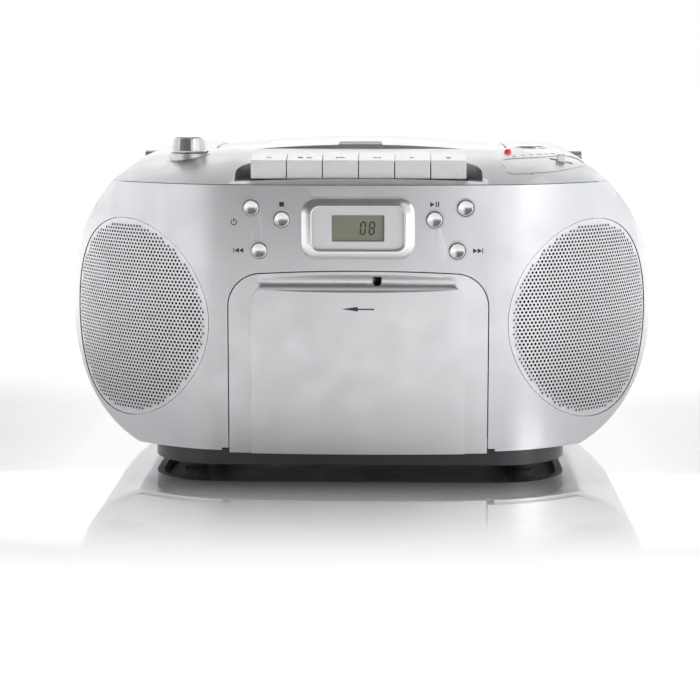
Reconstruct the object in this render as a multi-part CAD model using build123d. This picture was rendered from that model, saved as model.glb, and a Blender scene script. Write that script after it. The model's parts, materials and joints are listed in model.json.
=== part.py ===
from build123d import *
import math
import os

# A portable stereo with a cassette deck, a disc player and a radio, in millimetres.
# X to the right, Y to the back, Z up. The origin is on the standing surface, under the middle.

# ---- Cabinet -------------------------------------------------------------------------------
FRONT_Y = -118.0            # front panel on the centre line
BACK_Y = 120.2              # rear wall
WALL = 2.6                  # moulded wall
FRONT_WALL = 3.0            # front panel wall
SEAM_Z = 163.0              # seam between the front panel, the rear cabinet and the top cover
SEAM_GAP = 0.3
RIM_DEPTH = 3.0             # how far the rear cabinet stands behind the front panel's face
SPIGOT_DEPTH = 16.0
SPIGOT_STEP = 1.2
SPIGOT_TOP_HALF = 133.0

# Plan of the front: tangent arcs on each side of the centre line, as (radius, end angle).
PLAN_ARCS = ((690.0, 6.03), (80.0, 28.0), (150.0, 74.0))
PLAN_REACH = 215.0          # half width that the plan runs out to

# Front outlines. Side arcs are centred at the widest height.
WIDEST_Z = 85.8
BOTTOM_Z = 14.0             # flat underside
PANEL_HALF = 172.4          # front panel
PANEL_UPPER_R = 98.0
PANEL_LOWER_R = 75.5
PANEL_BOTTOM_Z = 16.0
SHELL_HALF = 174.4          # cabinet behind it
SHELL_UPPER_R = 107.0
SHELL_LOWER_R = 77.5
SHOULDER_ANGLE = 56.1
SHOULDER_R = 27.4
CROWN_ANGLE = 88.5

# Dome of the top cover, an arc that rises from the seam and runs along the front.
DOME_R = 198.5
DOME_RUN = 86.0
DOME_TOP = 182.6
DOME_DEPTH = 62.0

BACK_ROUND_R = 14.0         # rounding of the rear wall's edge
LEDGE_ROUND_R = 3.0
LEDGE_Y = 84.0              # rear ledge that the folded handle lies on
LEDGE_FOOT_Y = 90.0
LEDGE_Z = 160.0
STEP_Y = 111.2              # step below the ledge that the folded aerial lies in
STEP_Z = 123.0

# ---- Plinth and feet -----------------------------------------------------------------------
PLINTH_HALF = 118.0
PLINTH_FRONT = -106.0
PLINTH_BACK = 104.0
PLINTH_Z = (5.0, BOTTOM_Z)
PLINTH_CORNER_R = 40.0
FOOT_R = 7.0
FOOT_SPOTS = ((-93.5, -86.0), (93.5, -86.0), (-93.5, 86.0), (93.5, 86.0))

# ---- Speakers ------------------------------------------------------------------------------
SPEAKER_X = 133.0
SPEAKER_Z = 86.2
GRILLE_R = 56.2
GRILLE_SEAT_R = 56.6
SOUND_HOLE_R = 51.0
GRILLE_FACE = 0.4
GRILLE_T = 1.2
SPEAKER_FRAME_R = 53.5
SPEAKER_DEPTH = 34.0
SPEAKER_FLANGE = 17.5       # depth of the speaker's flange behind the panel's tangent plane
MAGNET_R = 24.0

# ---- Display and front buttons -------------------------------------------------------------
DISPLAY_Z = 139.4
BEZEL_SIZE = (62.6, 34.6)
BEZEL_PROUD = 2.2
BEZEL_HOLE = (57.4, 29.4)
PANEL_SIZE = (50.6, 23.8)
LCD_SIZE = (29.0, 14.6)
DISPLAY_PANEL_Y = (-117.0, -115.4)
BUTTONS = {
    "power_button": (-59.0, 150.6),
    "cd_stop_button": (-42.0, 144.3),
    "back_button": (-54.6, 127.0),
    "cd_play_button": (42.0, 144.3),
    "program_button": (59.0, 150.6),
    "next_button": (54.6, 127.0),
}
BUTTON_R = 4.3
BUTTON_HOLE_R = 4.7
BUTTON_RING_R = 5.6
BUTTON_PROUD = 1.5
BUTTON_TRAVEL = 1.2
BOARD_GAP = 9.6

# ---- Cassette door and deck ----------------------------------------------------------------
DOOR_HALF = 72.6
DOOR_TOP = 114.6
DOOR_BOTTOM = 13.4
DOOR_CORNER_R = 19.0
DOOR_CROWN = 1.6
DOOR_GAP = 0.6
DOOR_PANEL_HALF = 59.5
DOOR_PROUD = 1.2
DOOR_T = 3.0
SCOOP_Z = 109.4
DOOR_NOTCH_X = 10.5
DOOR_AXIS_Y = -110.2
DOOR_AXIS_Z = 20.5
DOOR_PIN_R = 2.0
RUNNING_FIT = 0.05
CASSETTE = (100.4, 12.0, 63.8)
HOLDER_Y = (-113.4, -98.6)
HOLDER_Z = (33.0, 100.0)
DECK_Y = -90.0
DECK_T = 1.6
DECK_Z = (22.0, 116.0)
WING_X = (64.0, 65.6)
REEL_X = 21.25
REEL_Z = 66.0
SHAFT_R = 1.0
CAPSTAN_X = 24.0
CAPSTAN_Z = 94.0
PINCH_Z = 100.2
PINCH_R = 4.6
FLYWHEEL_R = 18.7
FLYWHEEL_Y = (-86.0, -80.0)
MOTOR_X = -32.0
PULLEY_R = 3.7
BELT_Y = (-84.2, -82.0)

# ---- Cassette keys -------------------------------------------------------------------------
KEY_NAMES = ("pause_key", "stop_eject_key", "fast_forward_key", "rewind_key", "play_key", "record_key")
KEY_PITCH = 19.9
KEY_GAP = 0.6
KEY_FRONT_Y = -108.6
KEY_BACK_Y = -88.2
KEY_TOP_FRONT_Z = 176.2
KEY_TOP_BACK_Z = 179.8
KEY_BOTTOM_Z = 166.2
KEY_WALL = 1.6
KEY_SHAFT_Y = -78.0
KEY_SHAFT_Z = 158.0
KEY_SHAFT_R = 1.5
POCKET_HALF = 68.5
POCKET_Y = (-110.8, -86.4)
POCKET_CORNER_R = 14.0
POCKET_FLOOR = (163.3, 164.8)
POCKET_WALL = 1.8
KEY_WELL_HALF = 60.8

# ---- Disc lid and player -------------------------------------------------------------------
DISC_Y = 10.0
LID_HALF = 85.0
LID_FRONT = -56.0
LID_BACK = 83.0
LID_CORNER_R = 30.0
LID_GAP = 0.6
LID_TOP = 185.2
LID_SIDE_R = 695.0
LID_LONG_R = 900.0
LID_WALL = 2.2
LID_EDGE_Z = 175.6
LID_SKIRT_Z = 170.0         # lower edge of the lid's rear skirt
LID_AXIS_Y = 78.0
LID_AXIS_Z = 173.8
LID_ARM_X = 63.0
WELL_Z = (163.4, 165.4)
WELL_RING = (62.3, 64.0)
WELL_RING_TOP = 169.5
TURNTABLE_Z = 168.6
LID_NOTCH_Y = 75.5          # behind this line the opening is cut down to the notch's floor
LID_NOTCH_Z = 166.4
LID_TAB_Z = 182.2
CLAMP_Z = 171.6
CLAMP_STEM_R = 3.5
CLAMP_STEM_Z = 174.0
RAIL_X = 16.0
RAIL_Z = 156.0
RAIL_R = 1.5
SLED_HALF = 8.0
SLED_Y = -17.0

# ---- Controls on the top -------------------------------------------------------------------
VOLUME_SPOT = (-98.5, -60.0)
VOLUME_R = (10.6, 8.8)
VOLUME_Z = (178.4, 188.0)
TUNING_SPOT = (100.0, -20.0)
TUNING_R = 9.5
TUNING_Z = (174.0, 180.9)
SLIDER_SPOT = (115.0, -62.0)
LED_SPOT = (84.5, -62.0)
LED_R = 2.1
LED_TOP = 180.6
SLIDER_TOP = 177.6

# ---- Handle --------------------------------------------------------------------------------
HANDLE_PIVOT_Y = 27.0
HANDLE_PIVOT_Z = 168.0
HANDLE_PIN_R = 2.5
HANDLE_EYE_R = 8.0
HANDLE_INNER = 124.0
HANDLE_OUTER = 137.0
HANDLE_BAR_Y = (91.0, 110.6)
HANDLE_TOP = 176.4
NOTCH_INNER = 122.6
NOTCH_FRONT = 16.2
NOTCH_FLOOR = 159.4

# ---- Rear ----------------------------------------------------------------------------------
AERIAL_X = 145.0
AERIAL_Z = 130.0
AERIAL_R = 3.0
AERIAL_BORE_R = 1.65
AERIAL_LENGTH = 168.0
BATTERY_X = (-104.0, 6.0)
BATTERY_Z = (34.0, 88.0)
BATTERY_DEPTH = 56.0
INLET_SPOT = (104.0, 66.0)
BATTERY_PIN_R = 0.9
BATTERY_AXIS_Y = BACK_Y - 1.25
BATTERY_AXIS_Z = BATTERY_Z[0] + 1.75
AERIAL_PIN_R = 1.8
SCREW_SPOTS = ((-150.0, 100.0), (150.0, 100.0), (-128.0, 40.0), (128.0, 40.0), (-40.0, 104.0), (60.0, 104.0))
BOARD_Z = 27.0


# ============================================================================================
# Helpers
# ============================================================================================
def box(x, y, z):
    """A box from three (low, high) ranges."""
    size = (x[1] - x[0], y[1] - y[0], z[1] - z[0])
    middle = ((x[0] + x[1]) / 2, (y[0] + y[1]) / 2, (z[0] + z[1]) / 2)
    return Pos(*middle) * Box(*size)


def rod_x(radius, x, y, z):
    """A cylinder along X between two X values."""
    return Pos((x[0] + x[1]) / 2, y, z) * Rot(0, 90, 0) * Cylinder(radius, abs(x[1] - x[0]))


def rod_y(radius, x, y, z):
    """A cylinder along Y between two Y values."""
    return Pos(x, (y[0] + y[1]) / 2, z) * Rot(90, 0, 0) * Cylinder(radius, abs(y[1] - y[0]))


def rod_z(radius, x, y, z):
    """A cylinder along Z between two Z values."""
    return Pos(x, y, (z[0] + z[1]) / 2) * Cylinder(radius, abs(z[1] - z[0]))


def front_prism(face, y=(-260.0, 260.0)):
    """Extrudes a face drawn as (X, Z) along Y."""
    plane = Plane((0, y[1], 0), x_dir=(1, 0, 0), z_dir=(0, -1, 0))
    return extrude(plane * face, amount=y[1] - y[0])


def side_prism(face, x=(-260.0, 260.0)):
    """Extrudes a face drawn as (Y, Z) along X."""
    plane = Plane((x[0], 0, 0), x_dir=(0, 1, 0), z_dir=(1, 0, 0))
    return extrude(plane * face, amount=x[1] - x[0])


def arc_at(centre, radius, start, end):
    """An arc about a 2-D centre between two angles in degrees."""
    def point(angle):
        turn = math.radians(angle)
        return (centre[0] + radius * math.cos(turn), centre[1] + radius * math.sin(turn))
    return ThreePointArc(point(start), point((start + end) / 2), point(end))


def closed_face(edges):
    """A face inside edges that run end to end, closed by a line."""
    first = edges[0] @ 0
    last = edges[-1] @ 1
    return make_face(edges + [Line(last, first)])


def mirrored_pair(solid):
    return [solid, mirror(solid, Plane.YZ)]


def joined(solids):
    """One shape from several, fused."""
    result = solids[0]
    for solid in solids[1:]:
        result = result + solid
    return result


def single(shape):
    """The largest solid of a shape, when cuts leave crumbs."""
    return max(shape.solids(), key=lambda solid: solid.volume)


# ============================================================================================
# The cabinet's form
# ============================================================================================
def plan_centres():
    """Centres of the right-hand arcs of the plan, with their radii and angles."""
    centre = (0.0, FRONT_Y + PLAN_ARCS[0][0])
    start = 0.0
    arcs = []
    for index, (radius, end) in enumerate(PLAN_ARCS):
        if index:
            step = PLAN_ARCS[index - 1][0] - radius
            turn = math.radians(start)
            centre = (centre[0] + step * math.sin(turn), centre[1] - step * math.cos(turn))
        arcs.append((centre, radius, start, end))
        start = end
    return arcs


def plan_point(arc, angle, inset):
    centre, radius = arc[0], arc[1] - inset
    turn = math.radians(angle)
    return (centre[0] + radius * math.sin(turn), centre[1] - radius * math.cos(turn))


def plan_edges(inset=0.0):
    """The front's plan from left to right, moved inwards by inset, with straight tails."""
    right = []
    arcs = plan_centres()
    for index, arc in enumerate(arcs):
        start, end = arc[2], arc[3]
        if index == 0:
            points = [(-p[0], p[1]) for p in [plan_point(arc, end, inset)]]
            points += [plan_point(arc, 0, inset), plan_point(arc, end, inset)]
        else:
            points = [plan_point(arc, angle, inset) for angle in (start, (start + end) / 2, end)]
        right.append(points)
    last = right[-1][-1]
    turn = math.radians(arcs[-1][3])
    reach = (PLAN_REACH - last[0]) / math.cos(turn)
    tail = (last, (PLAN_REACH, last[1] + reach * math.sin(turn)))
    flip = [[(-x, y) for x, y in reversed(points)] for points in right[1:]]
    edges = [Line((-tail[1][0], tail[1][1]), (-tail[0][0], tail[0][1]))]
    edges += [ThreePointArc(*points) for points in reversed(flip)]
    edges += [ThreePointArc(*points) for points in right]
    edges.append(Line(*tail))
    return edges


def behind(inset, z=(-20.0, 240.0)):
    """Everything behind the front's plan moved in by inset."""
    edges = plan_edges(inset)
    first, last = edges[0] @ 0, edges[-1] @ 1
    far = 400.0
    edges += [Line((last.X, last.Y), (last.X, far)), Line((last.X, far), (first.X, far)),
              Line((first.X, far), (first.X, first.Y))]
    return Pos(0, 0, z[0]) * extrude(make_face(edges), amount=z[1] - z[0])


def slab(front, back, z=(-20.0, 240.0)):
    """The layer between two insets of the front's plan."""
    return behind(front, z) - behind(back, z)


def dome_z(x, inset=0.0):
    return DOME_TOP - DOME_R + math.sqrt((DOME_R - inset) ** 2 - (DOME_RUN - x) ** 2)


def surface_y(x):
    """Y of the front at a given X."""
    for centre, radius, start, end in plan_centres():
        turn = math.asin((abs(x) - centre[0]) / radius)
        if math.degrees(turn) <= end:
            return centre[1] - radius * math.cos(turn)
    return 0.0


def surface_slope(x):
    """Angle in degrees by which the front turns away at a given X."""
    for centre, radius, start, end in plan_centres():
        turn = math.degrees(math.asin((abs(x) - centre[0]) / radius))
        if turn <= end:
            return turn
    return PLAN_ARCS[-1][1]


def domed_block(inset, floor):
    """The cabinet's front and top form, moved in by inset."""
    path = Wire(plan_edges())
    tangent = path % 0
    plane = Plane(path @ 0, x_dir=(-tangent.Y, tangent.X, 0), z_dir=tangent)
    up = 1 if plane.y_dir.Z > 0 else -1
    top = ThreePointArc(*((x, up * dome_z(x, inset)) for x in (inset, DOME_DEPTH / 2, DOME_DEPTH)))
    outline = [
        Line((inset, up * floor), (inset, up * dome_z(inset, inset))),
        top,
        Line((DOME_DEPTH, up * dome_z(DOME_DEPTH, inset)), (DOME_DEPTH, up * floor)),
        Line((DOME_DEPTH, up * floor), (inset, up * floor)),
    ]
    rim = sweep(plane * make_face(outline), path=path, transition=Transition.RIGHT)
    core = behind(DOME_DEPTH, (floor, dome_z(DOME_DEPTH, inset)))
    return rim + core


def fall_angle(radius, bottom):
    """Angle below the widest height at which a lower arc meets a flat bottom."""
    return math.degrees(math.asin((WIDEST_Z - bottom) / radius))


def shell_outline(inset=0.0):
    """The cabinet's outline seen from the front."""
    lower_x = SHELL_HALF - SHELL_LOWER_R
    upper_x = SHELL_HALF - SHELL_UPPER_R
    turn = math.radians(SHOULDER_ANGLE)
    step = SHELL_UPPER_R - SHOULDER_R
    shoulder = (upper_x + step * math.cos(turn), WIDEST_Z + step * math.sin(turn))
    crown_turn = math.radians(CROWN_ANGLE)
    crown_x = shoulder[0] + SHOULDER_R * math.cos(crown_turn)
    crown_r = crown_x / math.cos(crown_turn)
    crown_z = shoulder[1] + SHOULDER_R * math.sin(crown_turn) - crown_r * math.sin(crown_turn)
    fall = fall_angle(SHELL_LOWER_R - inset, BOTTOM_Z + inset)
    arcs = [
        ((lower_x, WIDEST_Z), SHELL_LOWER_R, -fall, 0),
        ((upper_x, WIDEST_Z), SHELL_UPPER_R, 0, SHOULDER_ANGLE),
        (shoulder, SHOULDER_R, SHOULDER_ANGLE, CROWN_ANGLE),
        ((0, crown_z), crown_r, CROWN_ANGLE, 180 - CROWN_ANGLE),
        ((-shoulder[0], shoulder[1]), SHOULDER_R, 180 - CROWN_ANGLE, 180 - SHOULDER_ANGLE),
        ((-upper_x, WIDEST_Z), SHELL_UPPER_R, 180 - SHOULDER_ANGLE, 180),
        ((-lower_x, WIDEST_Z), SHELL_LOWER_R, 180, 180 + fall),
    ]
    return closed_face([arc_at(c, r - inset, a, b) for c, r, a, b in arcs])


def panel_outline(inset=0.0):
    """The front panel's outline seen from the front, flat at the seam."""
    lower_x = PANEL_HALF - PANEL_LOWER_R
    upper_x = PANEL_HALF - PANEL_UPPER_R
    rise = math.degrees(math.asin((SEAM_Z - inset - WIDEST_Z) / (PANEL_UPPER_R - inset)))
    fall = fall_angle(PANEL_LOWER_R - inset, PANEL_BOTTOM_Z + inset)
    right = [
        arc_at((lower_x, WIDEST_Z), PANEL_LOWER_R - inset, -fall, 0),
        arc_at((upper_x, WIDEST_Z), PANEL_UPPER_R - inset, 0, rise),
    ]
    left = [
        arc_at((-upper_x, WIDEST_Z), PANEL_UPPER_R - inset, 180 - rise, 180),
        arc_at((-lower_x, WIDEST_Z), PANEL_LOWER_R - inset, 180, 180 + fall),
    ]
    top = Line(right[-1] @ 1, left[0] @ 0)
    return closed_face(right + [top] + left)


def side_outline(inset=0.0):
    """The cabinet seen from the side: rear wall, aerial step, and the ledge for the handle."""
    back = BACK_Y - inset
    step = STEP_Y - inset
    ledge = LEDGE_Z - inset
    corner = LEDGE_ROUND_R - inset
    edges = [
        Line((-300, -40), (back, -40)),
        Line((back, -40), (back, STEP_Z - inset)),
        Line((back, STEP_Z - inset), (step, STEP_Z - inset)),
        Line((step, STEP_Z - inset), (step, ledge - corner)),
        arc_at((step - corner, ledge - corner), corner, 0, 90),
        Line((step - corner, ledge), (LEDGE_FOOT_Y - inset, ledge)),
        Line((LEDGE_FOOT_Y - inset, ledge), (LEDGE_Y - inset, 184)),
        Line((LEDGE_Y - inset, 184), (-300, 184)),
    ]
    return closed_face(edges)


def channels(inset=0.0):
    """Hollows in the outside for the handle's arms."""
    channel = box((NOTCH_INNER - inset, 260), (NOTCH_FRONT - inset, 260), (NOTCH_FLOOR - inset, 260))
    return mirrored_pair(channel)


def rounded_back(inset=0.0):
    """The outline run along Y, with its rear edge rounded."""
    block = front_prism(shell_outline(inset), (-300, BACK_Y - inset))
    return fillet(block.edges().group_by(Axis.Y)[-1], BACK_ROUND_R - inset)


def envelope(inset=0.0):
    """The cabinet's closed outer form, moved in by inset."""
    form = domed_block(inset, -30.0)
    form = form & rounded_back(inset)
    form = form & side_prism(side_outline(inset))
    for channel in channels(inset):
        form = form - channel
    return form


# ============================================================================================
# Openings
# ============================================================================================
def door_outline(inset=0.0):
    """The cassette door's opening seen from the front, open at the bottom."""
    half = DOOR_HALF - inset
    top = DOOR_TOP - inset
    corner = DOOR_CORNER_R - inset
    edges = [
        Line((half, DOOR_BOTTOM - 40), (half, top - corner)),
        arc_at((half - corner, top - corner), corner, 0, 90),
        ThreePointArc((half - corner, top), (0, top + DOOR_CROWN), (corner - half, top)),
        arc_at((corner - half, top - corner), corner, 90, 180),
        Line((-half, top - corner), (-half, DOOR_BOTTOM - 40)),
    ]
    return closed_face(edges)


def lid_plan(inset=0.0, back=LID_BACK):
    """The disc lid seen from above."""
    half = LID_HALF - inset
    front = LID_FRONT + inset
    corner = LID_CORNER_R - inset
    edges = [
        Line((half, back), (half, front + corner)),
        arc_at((half - corner, front + corner), corner, 0, -90),
        Line((half - corner, front), (corner - half, front)),
        arc_at((corner - half, front + corner), corner, 270, 180),
        Line((-half, front + corner), (-half, back)),
    ]
    return closed_face(edges)


def pocket_plan(inset=0.0):
    """The key pocket seen from above."""
    half = POCKET_HALF - inset
    front, back = POCKET_Y[0] + inset, POCKET_Y[1] - inset
    corner = POCKET_CORNER_R - inset
    edges = [
        Line((-half, front), (half, front)),
        Line((half, front), (half, back - corner)),
        arc_at((half - corner, back - corner), corner, 0, 90),
        Line((half - corner, back), (corner - half, back)),
        arc_at((corner - half, back - corner), corner, 90, 180),
    ]
    return closed_face(edges)


def from_above(face, z):
    return Pos(0, 0, z[0]) * extrude(face, amount=z[1] - z[0])


def speaker_axis(side):
    """A location on the front at the middle of a speaker, its Z pointing outwards."""
    slope = math.radians(surface_slope(SPEAKER_X))
    spot = (side * SPEAKER_X, surface_y(SPEAKER_X), SPEAKER_Z)
    outward = (side * math.sin(slope), -math.cos(slope), 0)
    return Plane(spot, x_dir=(side * math.cos(slope), math.sin(slope), 0), z_dir=outward)


def speaker_rod(side, radius, out, back):
    """A cylinder on a speaker's axis, from out in front of the panel to back behind it."""
    plane = speaker_axis(side)
    plane = plane.offset(-back)
    return extrude(plane * Circle(radius), amount=out + back)


# ============================================================================================
# Cabinet pieces
# ============================================================================================
def front_cabinet():
    lip = front_prism(panel_outline()) & slab(0, RIM_DEPTH)
    spigot = front_prism(panel_outline(SPIGOT_STEP)) & slab(0, SPIGOT_DEPTH)
    cavity = front_prism(panel_outline(SPIGOT_STEP + WALL)) & behind(FRONT_WALL)
    body = lip + spigot - cavity
    body = body - front_prism(door_outline(), (-200, -60))
    for side in (-1, 1):
        seat = speaker_rod(side, GRILLE_SEAT_R, 40, 60) - behind(GRILLE_FACE + GRILLE_T)
        body = body - seat - speaker_rod(side, SOUND_HOLE_R, 40, 30)
    window = RectangleRounded(BEZEL_HOLE[0] + 0.4, BEZEL_HOLE[1] + 0.4, 7.0)
    body = body - front_prism(Pos(0, DISPLAY_Z) * window, (-140, -105))
    for x, z in BUTTONS.values():
        face_y = surface_y(x)
        body = body + rod_y(BUTTON_RING_R, x, (face_y - 0.5, face_y + 1.5), z)
    for x, z in BUTTONS.values():
        body = body - rod_y(BUTTON_HOLE_R, x, (-130, -105), z)
    ears = []
    for side in (-1, 1):
        ear_x = sorted((side * (DOOR_HALF + 0.2), side * (DOOR_HALF + 3.2)))
        ear = box(ear_x, (DOOR_AXIS_Y - 3.4, DOOR_AXIS_Y + 3.4), (DOOR_AXIS_Z, DOOR_AXIS_Z + 10))
        ears.append((ear + rod_x(3.4, ear_x, DOOR_AXIS_Y, DOOR_AXIS_Z)) & behind(1.0))
    for ear in ears:
        body = body + ear
    bore = rod_x(DOOR_PIN_R + RUNNING_FIT, (-DOOR_HALF - 2.8, DOOR_HALF + 2.8), DOOR_AXIS_Y, DOOR_AXIS_Z)
    return body - bore


def speaker_collars():
    """Short tubes behind the panel that the speakers are screwed to."""
    collars = []
    for side in (-1, 1):
        tube = speaker_rod(side, SPEAKER_FRAME_R + 1, 0, SPEAKER_FLANGE)
        tube = tube - speaker_rod(side, SOUND_HOLE_R, 5, 40)
        collars.append(tube & behind(FRONT_WALL - 0.5) & front_prism(panel_outline(SPIGOT_STEP)))
    return collars


def shell_wall():
    return envelope() - envelope(WALL)


def rear_cabinet(wall):
    """The lower and rear shell, up to the seam."""
    below = box((-260, 260), (-260, 260), (-20, SEAM_Z))
    rim = front_prism(shell_outline(0.2)) - front_prism(panel_outline(SPIGOT_STEP - 0.3))
    body = (wall & below & behind(RIM_DEPTH)) + (rim & slab(RIM_DEPTH, RIM_DEPTH + WALL) & below)
    body = body - box((-DOOR_HALF - 4, DOOR_HALF + 4), (-200, -102), (0, 120))
    bridge = box((-SPIGOT_TOP_HALF, SPIGOT_TOP_HALF), (-200, 0), (SEAM_Z - 5, 200))
    body = body - (bridge & slab(-1, 9))
    body = body - box(BATTERY_X, (BACK_Y - 8, BACK_Y + 8), BATTERY_Z)
    x, z = INLET_SPOT
    body = body - box((x - 11.2, x + 11.2), (BACK_Y - 8, BACK_Y + 8), (z - 6.2, z + 6.2))
    for x, z in SCREW_SPOTS:
        body = body - rod_y(3.0, x, (BACK_Y - 8, BACK_Y + 8), z)
    for x in (BATTERY_X[0] - 4, BATTERY_X[1]):
        lug = box((x, x + 4), (BACK_Y - 5.0, BACK_Y - WALL), (BATTERY_Z[0], BATTERY_Z[0] + 6))
        body = body + lug
    pin = rod_x(BATTERY_PIN_R + RUNNING_FIT, (BATTERY_X[0] - 2.6, BATTERY_X[1] + 2.6), BATTERY_AXIS_Y,
                BATTERY_AXIS_Z)
    body = body - pin
    for x in (-66, 66):
        for y in (-44, 44):
            body = body + rod_z(3.5, x, y, (BOTTOM_Z + WALL, BOARD_Z))
    socket = rod_y(AERIAL_PIN_R, AERIAL_X, (BACK_Y - 30, BACK_Y - 4), AERIAL_Z)
    return body - socket


def top_cover(wall):
    """The domed top with the key pocket, the disc opening and the controls' holes."""
    top = (-20.0, 240.0)
    above = box((-260, 260), (-260, 260), (SEAM_Z + SEAM_GAP, 260))
    form = envelope() & above
    body = wall & above
    pocket_wall = from_above(pocket_plan(-POCKET_WALL), top) & form
    lid_wall = from_above(lid_plan(-LID_GAP - POCKET_WALL, LEDGE_Y - 1), top) & form
    pad = rod_z(VOLUME_R[0] + 0.6, *VOLUME_SPOT, (SEAM_Z + SEAM_GAP, VOLUME_Z[0] - 0.4))
    body = body + pocket_wall + lid_wall + pad
    body = body - from_above(pocket_plan(), (POCKET_FLOOR[1], 240))
    body = body - box((-KEY_WELL_HALF, KEY_WELL_HALF), (POCKET_Y[0] + 0.6, POCKET_Y[1]), (150, 240))
    body = body - from_above(lid_plan(-LID_GAP, LID_NOTCH_Y), (150, 240))
    body = body - box((-LID_HALF - LID_GAP, LID_HALF + LID_GAP), (LID_NOTCH_Y - 0.1, 140), (LID_NOTCH_Z, 240))
    for side in (-1, 1):
        ear_x = sorted((side * (LID_ARM_X + 3.5), side * (LID_ARM_X + 7.5)))
        ear = box(ear_x, (LID_NOTCH_Y, LID_AXIS_Y + 2.9), (LID_NOTCH_Z - 1, LID_AXIS_Z))
        ear = ear + rod_x(2.9, ear_x, LID_AXIS_Y, LID_AXIS_Z)
        body = body + ear - rod_x(2.0 + RUNNING_FIT, ear_x, LID_AXIS_Y, LID_AXIS_Z)
    body = body - rod_z(VOLUME_R[0] + 0.6, *VOLUME_SPOT, (VOLUME_Z[0] - 0.4, 240))
    body = body - rod_z(3.4, *VOLUME_SPOT, (150, 240))
    body = body - rod_z(TUNING_R + 0.5, *TUNING_SPOT, (150, 240))
    body = body - rod_z(LED_R, *LED_SPOT, (150, 240))
    x, y = SLIDER_SPOT
    body = body - box((x - 6.5, x + 6.5), (y - 1.9, y + 1.9), (150, 240))
    for side in (-1, 1):
        body = body - rod_x(HANDLE_PIN_R, (side * 100, side * 160), HANDLE_PIVOT_Y, HANDLE_PIVOT_Z)
    return single(body)


def base_plinth():
    plan = Pos(0, (PLINTH_FRONT + PLINTH_BACK) / 2) * RectangleRounded(
        2 * PLINTH_HALF, PLINTH_BACK - PLINTH_FRONT, PLINTH_CORNER_R)
    block = from_above(plan, PLINTH_Z)
    hollow = from_above(offset(plan, -4.0), (PLINTH_Z[0], PLINTH_Z[1] - 3.0))
    posts = [rod_z(FOOT_R + 2, x, y, PLINTH_Z) for x, y in FOOT_SPOTS]
    return joined([block - hollow] + posts)


def rubber_feet():
    """Round feet with a rounded lower edge."""
    feet = []
    for x, y in FOOT_SPOTS:
        foot = rod_z(FOOT_R, x, y, (0, PLINTH_Z[0]))
        feet.append(fillet(foot.edges().group_by(Axis.Z)[0], 1.5))
    return Compound(children=feet)


def grille(side):
    """The perforated speaker cover, as a curved plate with a rim."""
    plate = speaker_rod(side, GRILLE_R, 40, 60) & slab(GRILLE_FACE, GRILLE_FACE + GRILLE_T)
    return single(plate)


def speaker(side):
    """Frame, cone and magnet of a speaker, behind the panel."""
    plane = speaker_axis(side)
    start = -SPEAKER_FLANGE
    flange = extrude(plane.offset(start - 2.0) * Circle(SPEAKER_FRAME_R), amount=2.0)
    basket = loft([plane.offset(start - 2.0) * Circle(SPEAKER_FRAME_R - 4),
                   plane.offset(start - 22.0) * Circle(MAGNET_R - 4)])
    magnet = extrude(plane.offset(start - SPEAKER_DEPTH) * Circle(MAGNET_R), amount=12.0)
    cone = loft([plane.offset(start + 1.0) * Circle(SPEAKER_FRAME_R - 7),
                 plane.offset(start - 17.0) * Circle(10)])
    return flange + basket + magnet - cone


def display_bezel():
    flange = Pos(0, DISPLAY_Z) * RectangleRounded(*BEZEL_SIZE, 9.0)
    sleeve = Pos(0, DISPLAY_Z) * RectangleRounded(*BEZEL_HOLE, 6.8)
    inner = Pos(0, DISPLAY_Z) * RectangleRounded(PANEL_SIZE[0] + 0.4, PANEL_SIZE[1] + 0.4, 3.6)
    ring = front_prism(flange, (FRONT_Y - BEZEL_PROUD, FRONT_Y + 1)) - behind(0.0)
    tube = front_prism(sleeve, (FRONT_Y - 1, FRONT_Y + 9))
    body = ring + tube - front_prism(inner)
    outer = body.faces().sort_by(Axis.Y)[0].outer_wire().edges()
    return fillet(outer, 1.4)


def display_panel():
    plate = Pos(0, DISPLAY_Z) * RectangleRounded(*PANEL_SIZE, 3.4)
    window = Pos(0, DISPLAY_Z) * RectangleRounded(*LCD_SIZE, 0.8)
    return front_prism(plate, DISPLAY_PANEL_Y) - front_prism(window)


def lcd_module():
    size = (LCD_SIZE[0] + 6, LCD_SIZE[1] + 5)
    y = DISPLAY_PANEL_Y[1]
    return box((-size[0] / 2, size[0] / 2), (y, y + 4), (DISPLAY_Z - size[1] / 2, DISPLAY_Z + size[1] / 2))


def power_led():
    x, y = LED_SPOT
    body = rod_z(LED_R, x, y, (170.0, LED_TOP))
    return fillet(body.edges().group_by(Axis.Z)[-1], 1.6)


def front_button(x, z):
    """A dished round button with a retaining collar behind the panel."""
    face_y = surface_y(x)
    stem = rod_y(BUTTON_R, x, (face_y - BUTTON_PROUD, face_y + 6.5), z)
    collar = rod_y(BUTTON_R + 1.4, x, (face_y + FRONT_WALL + 1.0, face_y + 6.5), z)
    dish = Pos(x, face_y - BUTTON_PROUD - 15.4, z) * Sphere(16.0)
    return stem + collar - dish


def button_board():
    """The circuit board behind the front buttons and the display."""
    y = FRONT_Y + 2.5 + BOARD_GAP
    board = box((-68, 68), (y, y + 1.6), (119.5, 156.5))
    board = board & front_prism(panel_outline(SPIGOT_STEP + WALL + 1))
    switches = []
    for x, z in BUTTONS.values():
        back = surface_y(x) + 6.5 + BUTTON_TRAVEL + 0.4
        switches.append(box((x - 3, x + 3), (back, y + 0.5), (z - 3, z + 3)))
    return joined([board] + switches)


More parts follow.
